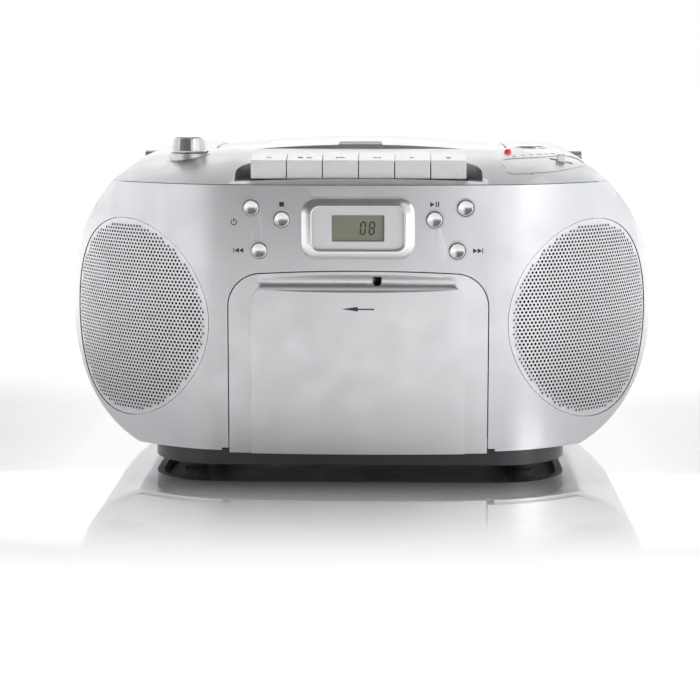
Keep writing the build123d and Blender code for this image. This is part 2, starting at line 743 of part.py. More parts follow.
# ============================================================================================
# Cassette deck
# ============================================================================================
def cassette_door():
    """The door's skin with its raised panel, finger scoop and hinge pins."""
    above = box((-260, 260), (-260, 260), (DOOR_BOTTOM, 260))
    skin = front_prism(door_outline(DOOR_GAP)) & slab(0.2, 0.2 + DOOR_T) & above
    half = DOOR_PANEL_HALF
    top = DOOR_TOP - 3.4
    corner = DOOR_CORNER_R - 3
    panel_face = closed_face([
        Line((half, 0), (half, top - corner)),
        arc_at((half - corner, top - corner), corner, 0, 90),
        ThreePointArc((half - corner, top), (0, top + DOOR_CROWN), (corner - half, top)),
        arc_at((corner - half, top - corner), corner, 90, 180),
        Line((-half, top - corner), (-half, 0)),
    ])
    panel = front_prism(panel_face) & slab(-DOOR_PROUD, 0.2 + DOOR_T) & above
    body = skin + panel
    body = body - (rod_x(5.6, (-56, 56), FRONT_Y - 3.2, SCOOP_Z))
    notch = rod_y(2.5, DOOR_NOTCH_X, (-130, -105), SCOOP_Z + 0.6)
    notch = notch + box((DOOR_NOTCH_X - 2.5, DOOR_NOTCH_X + 2.5), (-130, -105), (SCOOP_Z + 0.6, SCOOP_Z + 3.2))
    body = body - notch
    for side in (-1, 1):
        pin_x = sorted((side * (DOOR_HALF - 8), side * (DOOR_HALF + 2.6)))
        lug_x = sorted((side * (DOOR_HALF - 8), side * (DOOR_HALF - 2)))
        lug = box(lug_x, (DOOR_AXIS_Y - 6, DOOR_AXIS_Y + 1), (DOOR_AXIS_Z - 2.6, DOOR_AXIS_Z + 8))
        lug = (lug + rod_x(2.8, lug_x, DOOR_AXIS_Y, DOOR_AXIS_Z)) & behind(1.2)
        body = body + lug + rod_x(DOOR_PIN_R, pin_x, DOOR_AXIS_Y, DOOR_AXIS_Z)
    return body


def cassette_holder():
    """The pocket behind the door that carries the cassette, tape edge up."""
    half = CASSETTE[0] / 2
    outer = box((-half - 3, half + 3), HOLDER_Y, HOLDER_Z) & behind(0.2 + DOOR_T)
    cavity = box((-half - 0.8, half + 0.8), (HOLDER_Y[0] + 1.8, HOLDER_Y[1] - 1.4), (HOLDER_Z[0] + 3.4, 200))
    window = box((-40, 40), (HOLDER_Y[1] - 3, 0), (45, 200))
    return outer - cavity - window


def deck_chassis():
    """The deck's plate with side wings and the bearings' holes."""
    y = (DECK_Y, DECK_Y + DECK_T)
    body = box((-WING_X[1], WING_X[1]), y, DECK_Z)
    for side in (-1, 1):
        wing_x = sorted((side * WING_X[0], side * WING_X[1]))
        body = body + box(wing_x, (DECK_Y, KEY_SHAFT_Y + 6), (DECK_Z[0], KEY_SHAFT_Z + 4.4))
    body = body - rod_x(KEY_SHAFT_R, (-80, 80), KEY_SHAFT_Y, KEY_SHAFT_Z)
    for x in (-REEL_X, REEL_X):
        body = body - rod_y(SHAFT_R + RUNNING_FIT, x, (DECK_Y - 5, DECK_Y + 5), REEL_Z)
    body = body - rod_y(SHAFT_R + RUNNING_FIT, CAPSTAN_X, (DECK_Y - 5, DECK_Y + 5), CAPSTAN_Z)
    body = body + rod_y(1.4, CAPSTAN_X, (-107.0, DECK_Y + 0.5), PINCH_Z)
    motor_leg = box((MOTOR_X - 15.5, MOTOR_X - 13.7), (DECK_Y, -60), (CAPSTAN_Z - 8, CAPSTAN_Z + 8))
    foot = box((-60, 60), (DECK_Y, DECK_Y + 14), (DECK_Z[0], DECK_Z[0] + 2))
    return body + motor_leg + foot


def tape_head():
    """The play and record head on its bracket."""
    head = box((-6, 6), (-108.5, -99.5), (102, 109))
    bracket = box((-9, 9), (-106, DECK_Y), (109, 110.6))
    return head + bracket


def pinch_roller():
    return (rod_y(PINCH_R, CAPSTAN_X, (-105.5, -98.5), PINCH_Z)
            - rod_y(1.4 + RUNNING_FIT, CAPSTAN_X, (-120, -80), PINCH_Z))


def capstan_flywheel():
    wheel = rod_y(FLYWHEEL_R, CAPSTAN_X, FLYWHEEL_Y, CAPSTAN_Z)
    wheel = wheel - rod_y(FLYWHEEL_R - 4, CAPSTAN_X, (FLYWHEEL_Y[1] - 2.5, 0), CAPSTAN_Z)
    shaft = rod_y(SHAFT_R, CAPSTAN_X, (-107.5, FLYWHEEL_Y[1]), CAPSTAN_Z)
    return wheel + shaft + rod_y(4, CAPSTAN_X, FLYWHEEL_Y, CAPSTAN_Z)


def motor_pulley():
    pulley = rod_y(PULLEY_R, MOTOR_X, FLYWHEEL_Y, CAPSTAN_Z)
    flanges = [rod_y(PULLEY_R + 2.4, MOTOR_X, y, CAPSTAN_Z) for y in ((-86.0, -85.2), (-80.8, -80.0))]
    return joined([pulley] + flanges) - rod_y(SHAFT_R + RUNNING_FIT, MOTOR_X, (-90, -70), CAPSTAN_Z)


def deck_motor():
    can = rod_y(13.6, MOTOR_X, (-79.0, -57.0), CAPSTAN_Z)
    return fillet(can.edges().group_by(Axis.Y)[-1], 2.0) + rod_y(SHAFT_R, MOTOR_X, (-85.0, -78.0), CAPSTAN_Z)


def drive_belt():
    """A flat belt round the flywheel and the motor's pulley."""
    def loop(extra):
        rounds = [Pos(CAPSTAN_X, CAPSTAN_Z) * Circle(FLYWHEEL_R + extra),
                  Pos(MOTOR_X, CAPSTAN_Z) * Circle(PULLEY_R + extra)]
        return make_hull(rounds[0].edges() + rounds[1].edges())
    return front_prism(loop(1.3), BELT_Y) - front_prism(loop(0.3), BELT_Y)


def reel_spindle(x):
    """A splined hub on its shaft."""
    hub = rod_y(3.4, x, (-106.0, -91.0), REEL_Z)
    fins = [Pos(x, -98.5, REEL_Z) * Rot(0, turn, 0) * Box(9.0, 13.0, 1.2) for turn in (0, 60, 120)]
    disc = rod_y(8.0, x, (-91.6, -90.6), REEL_Z)
    shaft = rod_y(SHAFT_R, x, (-95.0, -85.0), REEL_Z)
    clip = rod_y(4.0, x, (-88.0, -86.4), REEL_Z)
    return joined([hub, disc, shaft, clip] + fins)


def key_shaft():
    return rod_x(KEY_SHAFT_R, (-WING_X[1] - 1.5, WING_X[1] + 1.5), KEY_SHAFT_Y, KEY_SHAFT_Z)


def deck_key(index):
    """A piano key: a hollow cap on a lever that turns on the key shaft."""
    middle = (index - (len(KEY_NAMES) - 1) / 2) * KEY_PITCH
    half = (KEY_PITCH - KEY_GAP) / 2
    x = (middle - half, middle + half)

    def profile(inset):
        return make_face(Polyline(
            (KEY_FRONT_Y + inset, KEY_BOTTOM_Z - inset), (KEY_FRONT_Y + inset, KEY_TOP_FRONT_Z - inset),
            (KEY_BACK_Y - inset, KEY_TOP_BACK_Z - inset), (KEY_BACK_Y - inset, KEY_BOTTOM_Z - inset),
            close=True))
    cap = side_prism(profile(0), x)
    if index in (0, len(KEY_NAMES) - 1):
        side = -1 if index == 0 else 1
        corner = x[0] if index == 0 else x[1]
        cut = Pos(corner, KEY_BACK_Y, 170) * Rot(0, 0, 45) * Box(6.0, 6.0, 60)
        cap = cap - cut
        hollow_x = (x[0] + KEY_WALL + (4.5 if side < 0 else 0), x[1] - KEY_WALL - (4.5 if side > 0 else 0))
    else:
        hollow_x = (x[0] + KEY_WALL, x[1] - KEY_WALL)
    cap = cap - side_prism(profile(KEY_WALL), hollow_x)
    riser = box((middle - 3, middle + 3), (-92, -89), (KEY_SHAFT_Z - 2.5, KEY_TOP_FRONT_Z))
    lever = box((middle - 3, middle + 3), (-92, KEY_SHAFT_Y), (KEY_SHAFT_Z - 2.5, KEY_SHAFT_Z + 2.5))
    boss = rod_x(3.4, (middle - 3, middle + 3), KEY_SHAFT_Y, KEY_SHAFT_Z)
    bore = rod_x(KEY_SHAFT_R + RUNNING_FIT, (middle - 9, middle + 9), KEY_SHAFT_Y, KEY_SHAFT_Z)
    return cap + riser + lever + boss - bore


# ============================================================================================
# Disc player
# ============================================================================================
def lid_dome(inset=0.0):
    """The space under the lid's double-curved top."""
    half = 120.0
    drop = LID_SIDE_R - inset
    low = LID_TOP - LID_SIDE_R
    edge_z = low + math.sqrt(drop ** 2 - half ** 2)
    axis_z = LID_TOP - LID_LONG_R
    arc = ThreePointArc((-half, edge_z), (0, LID_TOP - inset), (half, edge_z))
    face = make_face([arc, Line((half, edge_z), (half, 100)), Line((half, 100), (-half, 100)),
                      Line((-half, 100), (-half, edge_z))])
    plane = Plane((0, DISC_Y, 0), x_dir=(1, 0, 0), z_dir=(0, -1, 0))
    axis = Axis((0, DISC_Y, axis_z), (1, 0, 0))
    swung = (plane * face).rotate(axis, -12)
    return revolve(swung, axis, 24)


def cd_lid():
    form = from_above(lid_plan(), (LID_EDGE_Z, 240)) & lid_dome()
    inside = from_above(lid_plan(LID_WALL, LID_BACK - LID_WALL), (0, 240)) & lid_dome(LID_WALL)
    body = form - inside
    boss = rod_z(6.5, 0, DISC_Y, (CLAMP_STEM_Z + 1.0, LID_TOP - 1.0)) & lid_dome(0.5)
    bore = rod_z(CLAMP_STEM_R + RUNNING_FIT, 0, DISC_Y, (CLAMP_STEM_Z - 5, LID_TOP - 3.4))
    body = body + boss - bore
    for side in (-1, 1):
        arm_x = sorted((side * (LID_ARM_X - 3), side * (LID_ARM_X + 3)))
        arm = box(arm_x, (LID_AXIS_Y - 4, LID_AXIS_Y + 4), (LID_AXIS_Z, 179))
        arm = arm & lid_dome(0.5)
        pin_x = sorted((side * LID_ARM_X, side * (LID_ARM_X + 7.4)))
        body = body + arm + rod_x(4.0, arm_x, LID_AXIS_Y, LID_AXIS_Z)
        body = body + rod_x(2.0, pin_x, LID_AXIS_Y, LID_AXIS_Z)
    skirt = box((-LID_HALF, LID_HALF), (LID_BACK - 1.5, LID_BACK), (LID_SKIRT_Z, 179)) & lid_dome(0.5)
    for side in (-1, 1):
        ear_gap = sorted((side * (LID_ARM_X - 4.5), side * (LID_ARM_X + 9.5)))
        skirt = skirt - box(ear_gap, (70, 90), (150, LID_EDGE_Z))
    body = body + skirt
    tab = box((-13, 13), (LID_FRONT - 1.4, LID_FRONT + 8), (LID_EDGE_Z + 2.0, LID_TAB_Z))
    tab = fillet(tab.edges().filter_by(Axis.Z).group_by(Axis.Y)[0], 3.0)
    return body + (tab & from_above(lid_plan(-0.2), (0, 240)))


def disc_clamp():
    """The spring-free clamp that turns in the lid."""
    puck = rod_z(14.0, 0, DISC_Y, (CLAMP_Z, CLAMP_Z + 2.4))
    puck = puck - rod_z(8.0, 0, DISC_Y, (CLAMP_Z - 1, CLAMP_Z + 1.0))
    return puck + rod_z(CLAMP_STEM_R, 0, DISC_Y, (CLAMP_Z + 1.5, LID_TOP - 3.8))


def cd_well():
    """The tray under the lid, with the ring round the disc and the slot for the lens."""
    plate = from_above(lid_plan(-LID_GAP, LID_NOTCH_Y), WELL_Z)
    ring = rod_z(WELL_RING[1], 0, DISC_Y, (WELL_Z[0], WELL_RING_TOP)) - rod_z(
        WELL_RING[0], 0, DISC_Y, (WELL_Z[0] - 5, 200))
    body = plate + ring
    slot = box((-SLED_HALF - 1.0, SLED_HALF + 1.0), (-52.0, DISC_Y - 15), (150, 200))
    body = body - slot - rod_z(3.0, 0, DISC_Y, (150, 200))
    for x in (-RAIL_X, RAIL_X):
        for y in ((-56, -53), (-1, 2)):
            body = body + (box((x - 3, x + 3), y, (RAIL_Z - 3, WELL_Z[0] + 0.5))
                           - rod_y(RAIL_R, x, (-60, 20), RAIL_Z))
    return body


def cd_motor():
    can = rod_z(12.5, 0, DISC_Y, (150.0, WELL_Z[0]))
    can = fillet(can.edges().group_by(Axis.Z)[0], 1.5)
    return can - rod_z(1.2 + RUNNING_FIT, 0, DISC_Y, (155, 200))


def cd_turntable():
    table = rod_z(14.5, 0, DISC_Y, (TURNTABLE_Z - 1.6, TURNTABLE_Z))
    cone = Pos(0, DISC_Y, TURNTABLE_Z + 1.0) * Cone(7.4, 6.0, 2.0)
    return table + cone + rod_z(1.2, 0, DISC_Y, (156.0, TURNTABLE_Z))


def laser_sled():
    y = SLED_Y
    block = box((-RAIL_X - 4, RAIL_X + 4), (y - 9, y + 9), (RAIL_Z - 3.4, RAIL_Z + 3.6))
    block = block + box((-SLED_HALF, SLED_HALF), (y - 7, y + 7), (RAIL_Z, 164.8))
    for x in (-RAIL_X, RAIL_X):
        block = block - rod_y(RAIL_R + RUNNING_FIT, x, (y - 20, y + 20), RAIL_Z)
    lens = rod_z(3.0, 0, y, (164.0, 166.6))
    return block + fillet(lens.edges().group_by(Axis.Z)[-1], 0.9)


def sled_rails():
    return Compound(children=[rod_y(RAIL_R, x, (-56.0, 2.0), RAIL_Z) for x in (-RAIL_X, RAIL_X)])


# ============================================================================================
# Controls on the top
# ============================================================================================
def volume_knob():
    """A tapered knob with eight soft flats and a domed top."""
    x, y = VOLUME_SPOT
    height = VOLUME_Z[1] - VOLUME_Z[0]
    body = Pos(x, y, (VOLUME_Z[0] + VOLUME_Z[1]) / 2) * Cone(VOLUME_R[0], VOLUME_R[1], height)
    body = fillet(body.edges().group_by(Axis.Z)[-1], 1.6)
    return body + rod_z(3.0, x, y, (166.0, VOLUME_Z[0] + 1))


def volume_control():
    x, y = VOLUME_SPOT
    return rod_z(8.5, x, y, (152.0, 160.0)) + rod_z(2.6, x, y, (160.0, 165.6))


def tuning_knob():
    x, y = TUNING_SPOT
    dial = rod_z(TUNING_R, x, y, TUNING_Z)
    dial = fillet(dial.edges().group_by(Axis.Z)[-1], 1.2)
    return dial + rod_z(3.0, x, y, (165.0, TUNING_Z[0] + 1))


def function_slider():
    x, y = SLIDER_SPOT
    grip = box((x - 2.5, x + 2.5), (y - 1.5, y + 1.5), (168.0, SLIDER_TOP))
    grip = fillet(grip.edges().group_by(Axis.Z)[-1], 0.6)
    return grip + box((x - 4, x + 4), (y - 4, y + 4), (166.0, 168.5))


# ============================================================================================
# Handle, rear and inside
# ============================================================================================
def handle():
    """The carrying handle, folded flat on the rear ledge and flush with the cabinet."""
    low = LEDGE_Z + 0.4
    outer = RectangleRounded(2 * HANDLE_OUTER, 2 * HANDLE_BAR_Y[1], 24.0)
    inner = RectangleRounded(2 * HANDLE_INNER, 2 * HANDLE_BAR_Y[0], 4.0)
    frame = from_above(outer - inner, (low, HANDLE_TOP))
    frame = frame & box((-200, 200), (HANDLE_PIVOT_Y, 200), (0, 240))
    frame = frame & front_prism(shell_outline(-0.4))
    for side in (-1, 1):
        arm_x = sorted((side * HANDLE_INNER, side * (HANDLE_OUTER - 3.0)))
        frame = frame + rod_x(HANDLE_EYE_R, arm_x, HANDLE_PIVOT_Y, HANDLE_PIVOT_Z)
    for side in (-1, 1):
        pin_x = sorted((side * 100, side * 160))
        frame = frame - rod_x(HANDLE_PIN_R + RUNNING_FIT, pin_x, HANDLE_PIVOT_Y, HANDLE_PIVOT_Z)
    return single(frame)


def handle_pins():
    pins = []
    for side in (-1, 1):
        pin_x = sorted((side * 117.0, side * (HANDLE_OUTER - 2.4)))
        head_x = sorted((side * 117.0, side * (NOTCH_INNER - WALL)))
        pin = rod_x(HANDLE_PIN_R, pin_x, HANDLE_PIVOT_Y, HANDLE_PIVOT_Z)
        pins.append(pin + rod_x(4.4, head_x, HANDLE_PIVOT_Y, HANDLE_PIVOT_Z))
    return Compound(children=pins)


def battery_door():
    x = (BATTERY_X[0] + 0.5, BATTERY_X[1] - 0.5)
    z = (BATTERY_Z[0] + 0.5, BATTERY_Z[1] - 0.5)
    plate = box(x, (BACK_Y - 2.4, BACK_Y), z)
    lower = plate.edges().filter_by(Axis.X).group_by(Axis.Z)[0]
    plate = fillet(lower, 1.15)
    pin = rod_x(BATTERY_PIN_R, (BATTERY_X[0] - 2.4, BATTERY_X[1] + 2.4), BATTERY_AXIS_Y, BATTERY_AXIS_Z)
    return plate + pin


def battery_tray():
    """The open-backed box that holds the cells."""
    x = (BATTERY_X[0] - 5.0, BATTERY_X[1] + 5.0)
    z = (BATTERY_Z[0] - 3.0, BATTERY_Z[1] + 3.0)
    y = (BACK_Y - BATTERY_DEPTH, BACK_Y - 5.2)
    tray = box(x, y, z) - box((x[0] + 2, x[1] - 2), (y[0] + 2, y[1] + 5), (z[0] + 2, z[1] - 2))
    return tray


def mains_inlet():
    """The two-pin mains socket."""
    x, z = INLET_SPOT
    shell = box((x - 11, x + 11), (BACK_Y - 18, BACK_Y - 0.4), (z - 6, z + 6))
    shell = shell - box((x - 8.4, x + 8.4), (BACK_Y - 13, BACK_Y + 5), (z - 4.2, z + 4.2))
    for step in (-4.3, 4.3):
        shell = shell + rod_y(1.2, x + step, (BACK_Y - 14, BACK_Y - 4), z)
    return shell


def case_screws():
    screws = []
    for x, z in SCREW_SPOTS:
        head = rod_y(2.85, x, (BACK_Y - 2.4, BACK_Y - 0.5), z)
        shank = rod_y(1.4, x, (BACK_Y - 14, BACK_Y - 2.2), z)
        cross = box((x - 1.8, x + 1.8), (BACK_Y - 1.5, BACK_Y), (z - 0.35, z + 0.35))
        cross = cross + box((x - 0.35, x + 0.35), (BACK_Y - 1.5, BACK_Y), (z - 1.8, z + 1.8))
        screws.append(head + shank - cross)
    return Compound(children=screws)


def main_board():
    board = box((-72, 72), (-50, 50), (BOARD_Z, BOARD_Z + 1.6))
    parts = [box((-50, -20), (-30, -10), (BOARD_Z, BOARD_Z + 6)),
             box((10, 34), (0, 24), (BOARD_Z, BOARD_Z + 5)),
             box((-30, 30), (38, 44), (BOARD_Z, BOARD_Z + 22))]
    parts += [rod_z(5.0, x, 22, (BOARD_Z, BOARD_Z + 18)) for x in (-60, -46, 50)]
    return joined([board] + parts)


def power_transformer():
    """Laminated core with its winding, on the cabinet's floor."""
    floor = BOTTOM_Z + WALL
    x = (52.0, 96.0)
    core = box(x, (60, 92), (floor, floor + 38))
    core = core - box((x[0] + 8, x[1] - 8), (50, 100), (floor + 8, floor + 30))
    return core + box((x[0] + 12, x[1] - 12), (56, 96), (floor + 8, floor + 30))


def aerial_rod():
    """The outer tube of the aerial on its knuckle, folded along the rear wall."""
    y = BACK_Y - 4.4
    knuckle = rod_y(5.4, AERIAL_X, (y - 3.4, y + 3.4), AERIAL_Z)
    tube = rod_x(AERIAL_R, (AERIAL_X - AERIAL_LENGTH, AERIAL_X), y, AERIAL_Z)
    body = knuckle + tube
    body = body - rod_x(AERIAL_BORE_R, (AERIAL_X - AERIAL_LENGTH - 5, AERIAL_X - 7), y, AERIAL_Z)
    return body - rod_y(AERIAL_PIN_R + RUNNING_FIT, AERIAL_X, (90, 140), AERIAL_Z)


def aerial_tip():
    y = BACK_Y - 4.4
    end = AERIAL_X - AERIAL_LENGTH
    tip = rod_x(AERIAL_BORE_R - RUNNING_FIT, (end - 1, AERIAL_X - 8), y, AERIAL_Z)
    return tip + fillet(rod_x(3.4, (end - 7, end - 0.6), y, AERIAL_Z).edges().group_by(Axis.X)[0], 1.5)


def aerial_pin():
    """The screw that the aerial turns on."""
    shaft = rod_y(AERIAL_PIN_R, AERIAL_X, (BACK_Y - 22, BACK_Y - 0.6), AERIAL_Z)
    return shaft + rod_y(4.0, AERIAL_X, (BACK_Y - 0.9, BACK_Y), AERIAL_Z)


# ============================================================================================
# All the pieces
# ============================================================================================
def all_pieces():
    wall = shell_wall()
    front = front_cabinet()
    for collar in speaker_collars():
        front = front + collar
    pieces = {
        "front_cabinet": single(front),
        "rear_cabinet": single(rear_cabinet(wall)),
        "top_cover": top_cover(wall),
        "base_plinth": base_plinth(),
        "rubber_feet": rubber_feet(),
        "left_grille": grille(-1),
        "right_grille": grille(1),
        "left_speaker": speaker(-1),
        "right_speaker": speaker(1),
        "display_bezel": display_bezel(),
        "display_panel": display_panel(),
        "lcd_module": lcd_module(),
        "power_led": power_led(),
        "button_board": button_board(),
        "cassette_door": cassette_door(),
        "cassette_holder": cassette_holder(),
        "deck_chassis": deck_chassis(),
        "tape_head": tape_head(),
        "pinch_roller": pinch_roller(),
        "capstan_flywheel": capstan_flywheel(),
        "motor_pulley": motor_pulley(),
        "deck_motor": deck_motor(),
        "drive_belt": drive_belt(),
        "supply_spindle": reel_spindle(-REEL_X),
        "takeup_spindle": reel_spindle(REEL_X),
        "key_shaft": key_shaft(),
        "cd_lid": cd_lid(),
        "disc_clamp": disc_clamp(),
        "cd_well": cd_well(),
        "cd_motor": cd_motor(),
        "cd_turntable": cd_turntable(),
        "laser_sled": laser_sled(),
        "sled_rails": sled_rails(),
        "volume_knob": volume_knob(),
        "volume_control": volume_control(),
        "tuning_knob": tuning_knob(),
        "function_slider": function_slider(),
        "handle": handle(),
        "handle_pins": handle_pins(),
        "battery_door": battery_door(),
        "battery_tray": battery_tray(),
        "mains_inlet": mains_inlet(),
        "case_screws": case_screws(),
        "main_board": main_board(),
        "power_transformer": power_transformer(),
        "aerial_rod": aerial_rod(),
        "aerial_tip": aerial_tip(),
        "aerial_pin": aerial_pin(),
    }
    for index, name in enumerate(KEY_NAMES):
        pieces[name] = deck_key(index)
    for name, (x, z) in BUTTONS.items():
        pieces[name] = front_button(x, z)
    return pieces


os.makedirs("parts", exist_ok=True)
for node, piece in all_pieces().items():
    export_step(piece, f"parts/{node}.step")
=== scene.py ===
"""A portable stereo with a cassette deck and a disc player: materials, fine meshes, light and camera."""
import json
import math

import bmesh
import bpy
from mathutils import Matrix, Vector
from mathutils.bvhtree import BVHTree

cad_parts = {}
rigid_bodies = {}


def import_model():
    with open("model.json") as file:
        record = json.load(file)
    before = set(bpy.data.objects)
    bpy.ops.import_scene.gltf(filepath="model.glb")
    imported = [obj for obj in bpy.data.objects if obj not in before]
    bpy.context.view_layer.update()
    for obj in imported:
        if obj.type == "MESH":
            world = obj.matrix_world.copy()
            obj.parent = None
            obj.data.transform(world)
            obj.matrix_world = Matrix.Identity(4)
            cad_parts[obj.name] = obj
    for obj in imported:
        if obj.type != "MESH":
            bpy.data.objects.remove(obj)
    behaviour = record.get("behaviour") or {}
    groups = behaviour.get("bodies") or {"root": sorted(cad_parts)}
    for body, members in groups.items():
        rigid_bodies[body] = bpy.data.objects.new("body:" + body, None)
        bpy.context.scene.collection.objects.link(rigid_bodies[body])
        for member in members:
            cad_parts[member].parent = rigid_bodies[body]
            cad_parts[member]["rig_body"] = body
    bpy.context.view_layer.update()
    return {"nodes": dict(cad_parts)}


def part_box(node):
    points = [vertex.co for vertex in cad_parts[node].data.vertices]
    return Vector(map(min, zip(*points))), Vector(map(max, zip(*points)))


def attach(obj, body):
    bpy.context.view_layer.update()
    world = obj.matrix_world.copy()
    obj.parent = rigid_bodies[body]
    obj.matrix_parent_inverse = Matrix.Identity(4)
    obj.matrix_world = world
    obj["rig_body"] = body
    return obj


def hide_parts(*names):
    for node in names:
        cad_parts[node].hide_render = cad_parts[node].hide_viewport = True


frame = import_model()

MM = 0.001

# ---- Driving sizes, the same as the part's, in metres --------------------------------------
FRONT_Y = -118.0 * MM
PLAN_ARCS = ((690.0 * MM, 6.03), (80.0 * MM, 28.0), (150.0 * MM, 74.0))
SPEAKER_X = 133.0 * MM
SPEAKER_Z = 86.2 * MM
GRILLE_R = 56.2 * MM
GRILLE_FACE = 0.4 * MM
GRILLE_SHEET = 1.0 * MM
HOLE_R = 0.78 * MM
HOLE_PITCH = 2.44 * MM
HOLE_ROW = 2.0 * MM
GRILLE_RIM = 0.9 * MM
RIM_STEPS = 180
DISPLAY_Z = 139.4 * MM
BEZEL = (62.6 * MM, 34.6 * MM, 9.0 * MM)
BEZEL_INNER = (50.8 * MM, 24.0 * MM, 4.4 * MM)
BUTTONS = {
    "power_button": (-59.0, 150.6),
    "cd_stop_button": (-42.0, 144.3),
    "back_button": (-54.6, 127.0),
    "cd_play_button": (42.0, 144.3),
    "program_button": (59.0, 150.6),
    "next_button": (54.6, 127.0),
}
BUTTON_R = 4.3 * MM
BUTTON_PROUD = 1.5 * MM
KEYS = ("pause_key", "stop_eject_key", "fast_forward_key", "rewind_key", "play_key", "record_key")
KEY_TOP_FRONT = (-108.6 * MM, 176.2 * MM)
KEY_TOP_BACK = (-88.2 * MM, 179.8 * MM)
KEY_MARK_Y = -101.5 * MM
KNOB_BASE = 178.4 * MM
KNOB_FLAT = 0.982
WELD = 0.004 * MM


# ============================================================================================
# The cabinet's form
# ============================================================================================
def plan_arcs():
    """Arcs of the front's plan to the right of the middle: centre, radius, start, end, length at start."""
    centre = (0.0, FRONT_Y + PLAN_ARCS[0][0])
    start, run, arcs = 0.0, 0.0, []
    for index, (radius, end) in enumerate(PLAN_ARCS):
        if index:
            step = PLAN_ARCS[index - 1][0] - radius
            turn = math.radians(start)
            centre = (centre[0] + step * math.sin(turn), centre[1] - step * math.cos(turn))
        arcs.append((centre, radius, math.radians(start), math.radians(end), run))
        run += radius * math.radians(end - start)
        start = end
    return arcs


ARCS = plan_arcs()


def plan_at(run, inset=0.0):
    """(x, y, turn) of the front's plan at a length along it from the middle, moved in by inset."""
    side = -1 if run < 0 else 1
    for centre, radius, start, end, before in ARCS:
        turn = start + (abs(run) - before) / radius
        if turn <= end or end == ARCS[-1][3]:
            x = centre[0] + (radius - inset) * math.sin(turn)
            return side * x, centre[1] - (radius - inset) * math.cos(turn), side * turn


def plan_run(x):
    """Length along the plan at a given X."""
    side = -1 if x < 0 else 1
    for centre, radius, start, end, before in ARCS:
        turn = math.asin((abs(x) - centre[0]) / radius)
        if turn <= end:
            return side * (before + (turn - start) * radius)


def surface_y(x):
    """The front's Y at a given X."""
    return plan_at(plan_run(x))[1]


def front_point(x, z, out=0.0):
    """A point on the front, moved outwards."""
    px, py, turn = plan_at(plan_run(x))
    return Vector((px + out * math.sin(turn), py - out * math.cos(turn), z))


# ============================================================================================
# Materials
# ============================================================================================
def material(name):
    made = bpy.data.materials.new(name)
    made.use_nodes = True
    shader = made.node_tree.nodes["Principled BSDF"]
    return made, made.node_tree.nodes, made.node_tree.links, shader


def set_sockets(shader, **values):
    """Sets constants on a shader; an underscore stands for a space."""
    for label, value in values.items():
        shader.inputs[label.replace("_", " ")].default_value = value


def noise(nodes, links, scale, detail=4.0, stretch=(1, 1, 1)):
    """A noise texture in the piece's own space, with its scale per metre."""
    place = nodes.new("ShaderNodeTexCoord")
    mapping = nodes.new("ShaderNodeMapping")
    mapping.inputs["Scale"].default_value = stretch
    texture = nodes.new("ShaderNodeTexNoise")
    texture.inputs["Scale"].default_value = scale
    texture.inputs["Detail"].default_value = detail
    links.new(place.outputs["Object"], mapping.inputs["Vector"])
    links.new(mapping.outputs["Vector"], texture.inputs["Vector"])
    return texture.outputs["Fac"]


def ranged(nodes, links, source, low, high, start=0.3, end=0.7):
    """Source spread over a range of values."""
    spread = nodes.new("ShaderNodeMapRange")
    spread.inputs["From Min"].default_value = start
    spread.inputs["From Max"].default_value = end
    spread.inputs["To Min"].default_value = low
    spread.inputs["To Max"].default_value = high
    links.new(source, spread.inputs["Value"])
    return spread.outputs["Result"]


def mixed(nodes, links, factor, first, second):
    """A colour between two colours."""
    blend = nodes.new("ShaderNodeMix")
    blend.data_type = "RGBA"
    for socket, colour in ((blend.inputs[6], first), (blend.inputs[7], second)):
        if isinstance(colour, tuple):
            socket.default_value = (*colour, 1.0)
        else:
            links.new(colour, socket)
    links.new(factor, blend.inputs[0])
    return blend.outputs[2]


def bumped(nodes, links, shader, height, strength, distance):
    """Fine relief from a height, in the shader's normal."""
    bump = nodes.new("ShaderNodeBump")
    bump.inputs["Strength"].default_value = strength
    bump.inputs["Distance"].default_value = distance
    links.new(height, bump.inputs["Height"])
    links.new(bump.outputs["Normal"], shader.inputs["Normal"])


def edges(nodes, links, low=0.52, high=0.6):
    """Where a surface turns sharply outwards."""
    geometry = nodes.new("ShaderNodeNewGeometry")
    return ranged(nodes, links, geometry.outputs["Pointiness"], 0.0, 1.0, low, high)


def finish(name, base, light, metallic, roughness, grain=900.0, bump=0.15, wear=0.5, coat=0.0,
           cloud=14.0, flake=2600.0, **more):
    """Moulded or painted stock: clouded colour, fine grain, uneven gloss and rubbed edges."""
    made, nodes, links, shader = material(name)
    set_sockets(shader, Metallic=metallic, Coat_Weight=coat, Coat_Roughness=0.12, **more)
    clouds = noise(nodes, links, cloud, 5.0)
    speck = noise(nodes, links, flake, 2.0)
    tone = mixed(nodes, links, ranged(nodes, links, clouds, 0.0, 0.55), base, light)
    tone = mixed(nodes, links, ranged(nodes, links, speck, 0.0, 0.35, 0.45, 0.8), tone, light)
    rubbed = tuple(min(1.0, channel * 1.12 + 0.02) for channel in light)
    scaled = nodes.new("ShaderNodeMath")
    scaled.operation = "MULTIPLY"
    scaled.inputs[1].default_value = wear
    links.new(edges(nodes, links), scaled.inputs[0])
    tone = mixed(nodes, links, scaled.outputs[0], tone, rubbed)
    links.new(tone, shader.inputs["Base Color"])
    gloss = noise(nodes, links, 60.0, 6.0)
    links.new(ranged(nodes, links, gloss, roughness * 0.88, roughness * 1.14), shader.inputs["Roughness"])
    bumped(nodes, links, shader, noise(nodes, links, grain, 3.0), bump, 0.05 * MM)
    return made


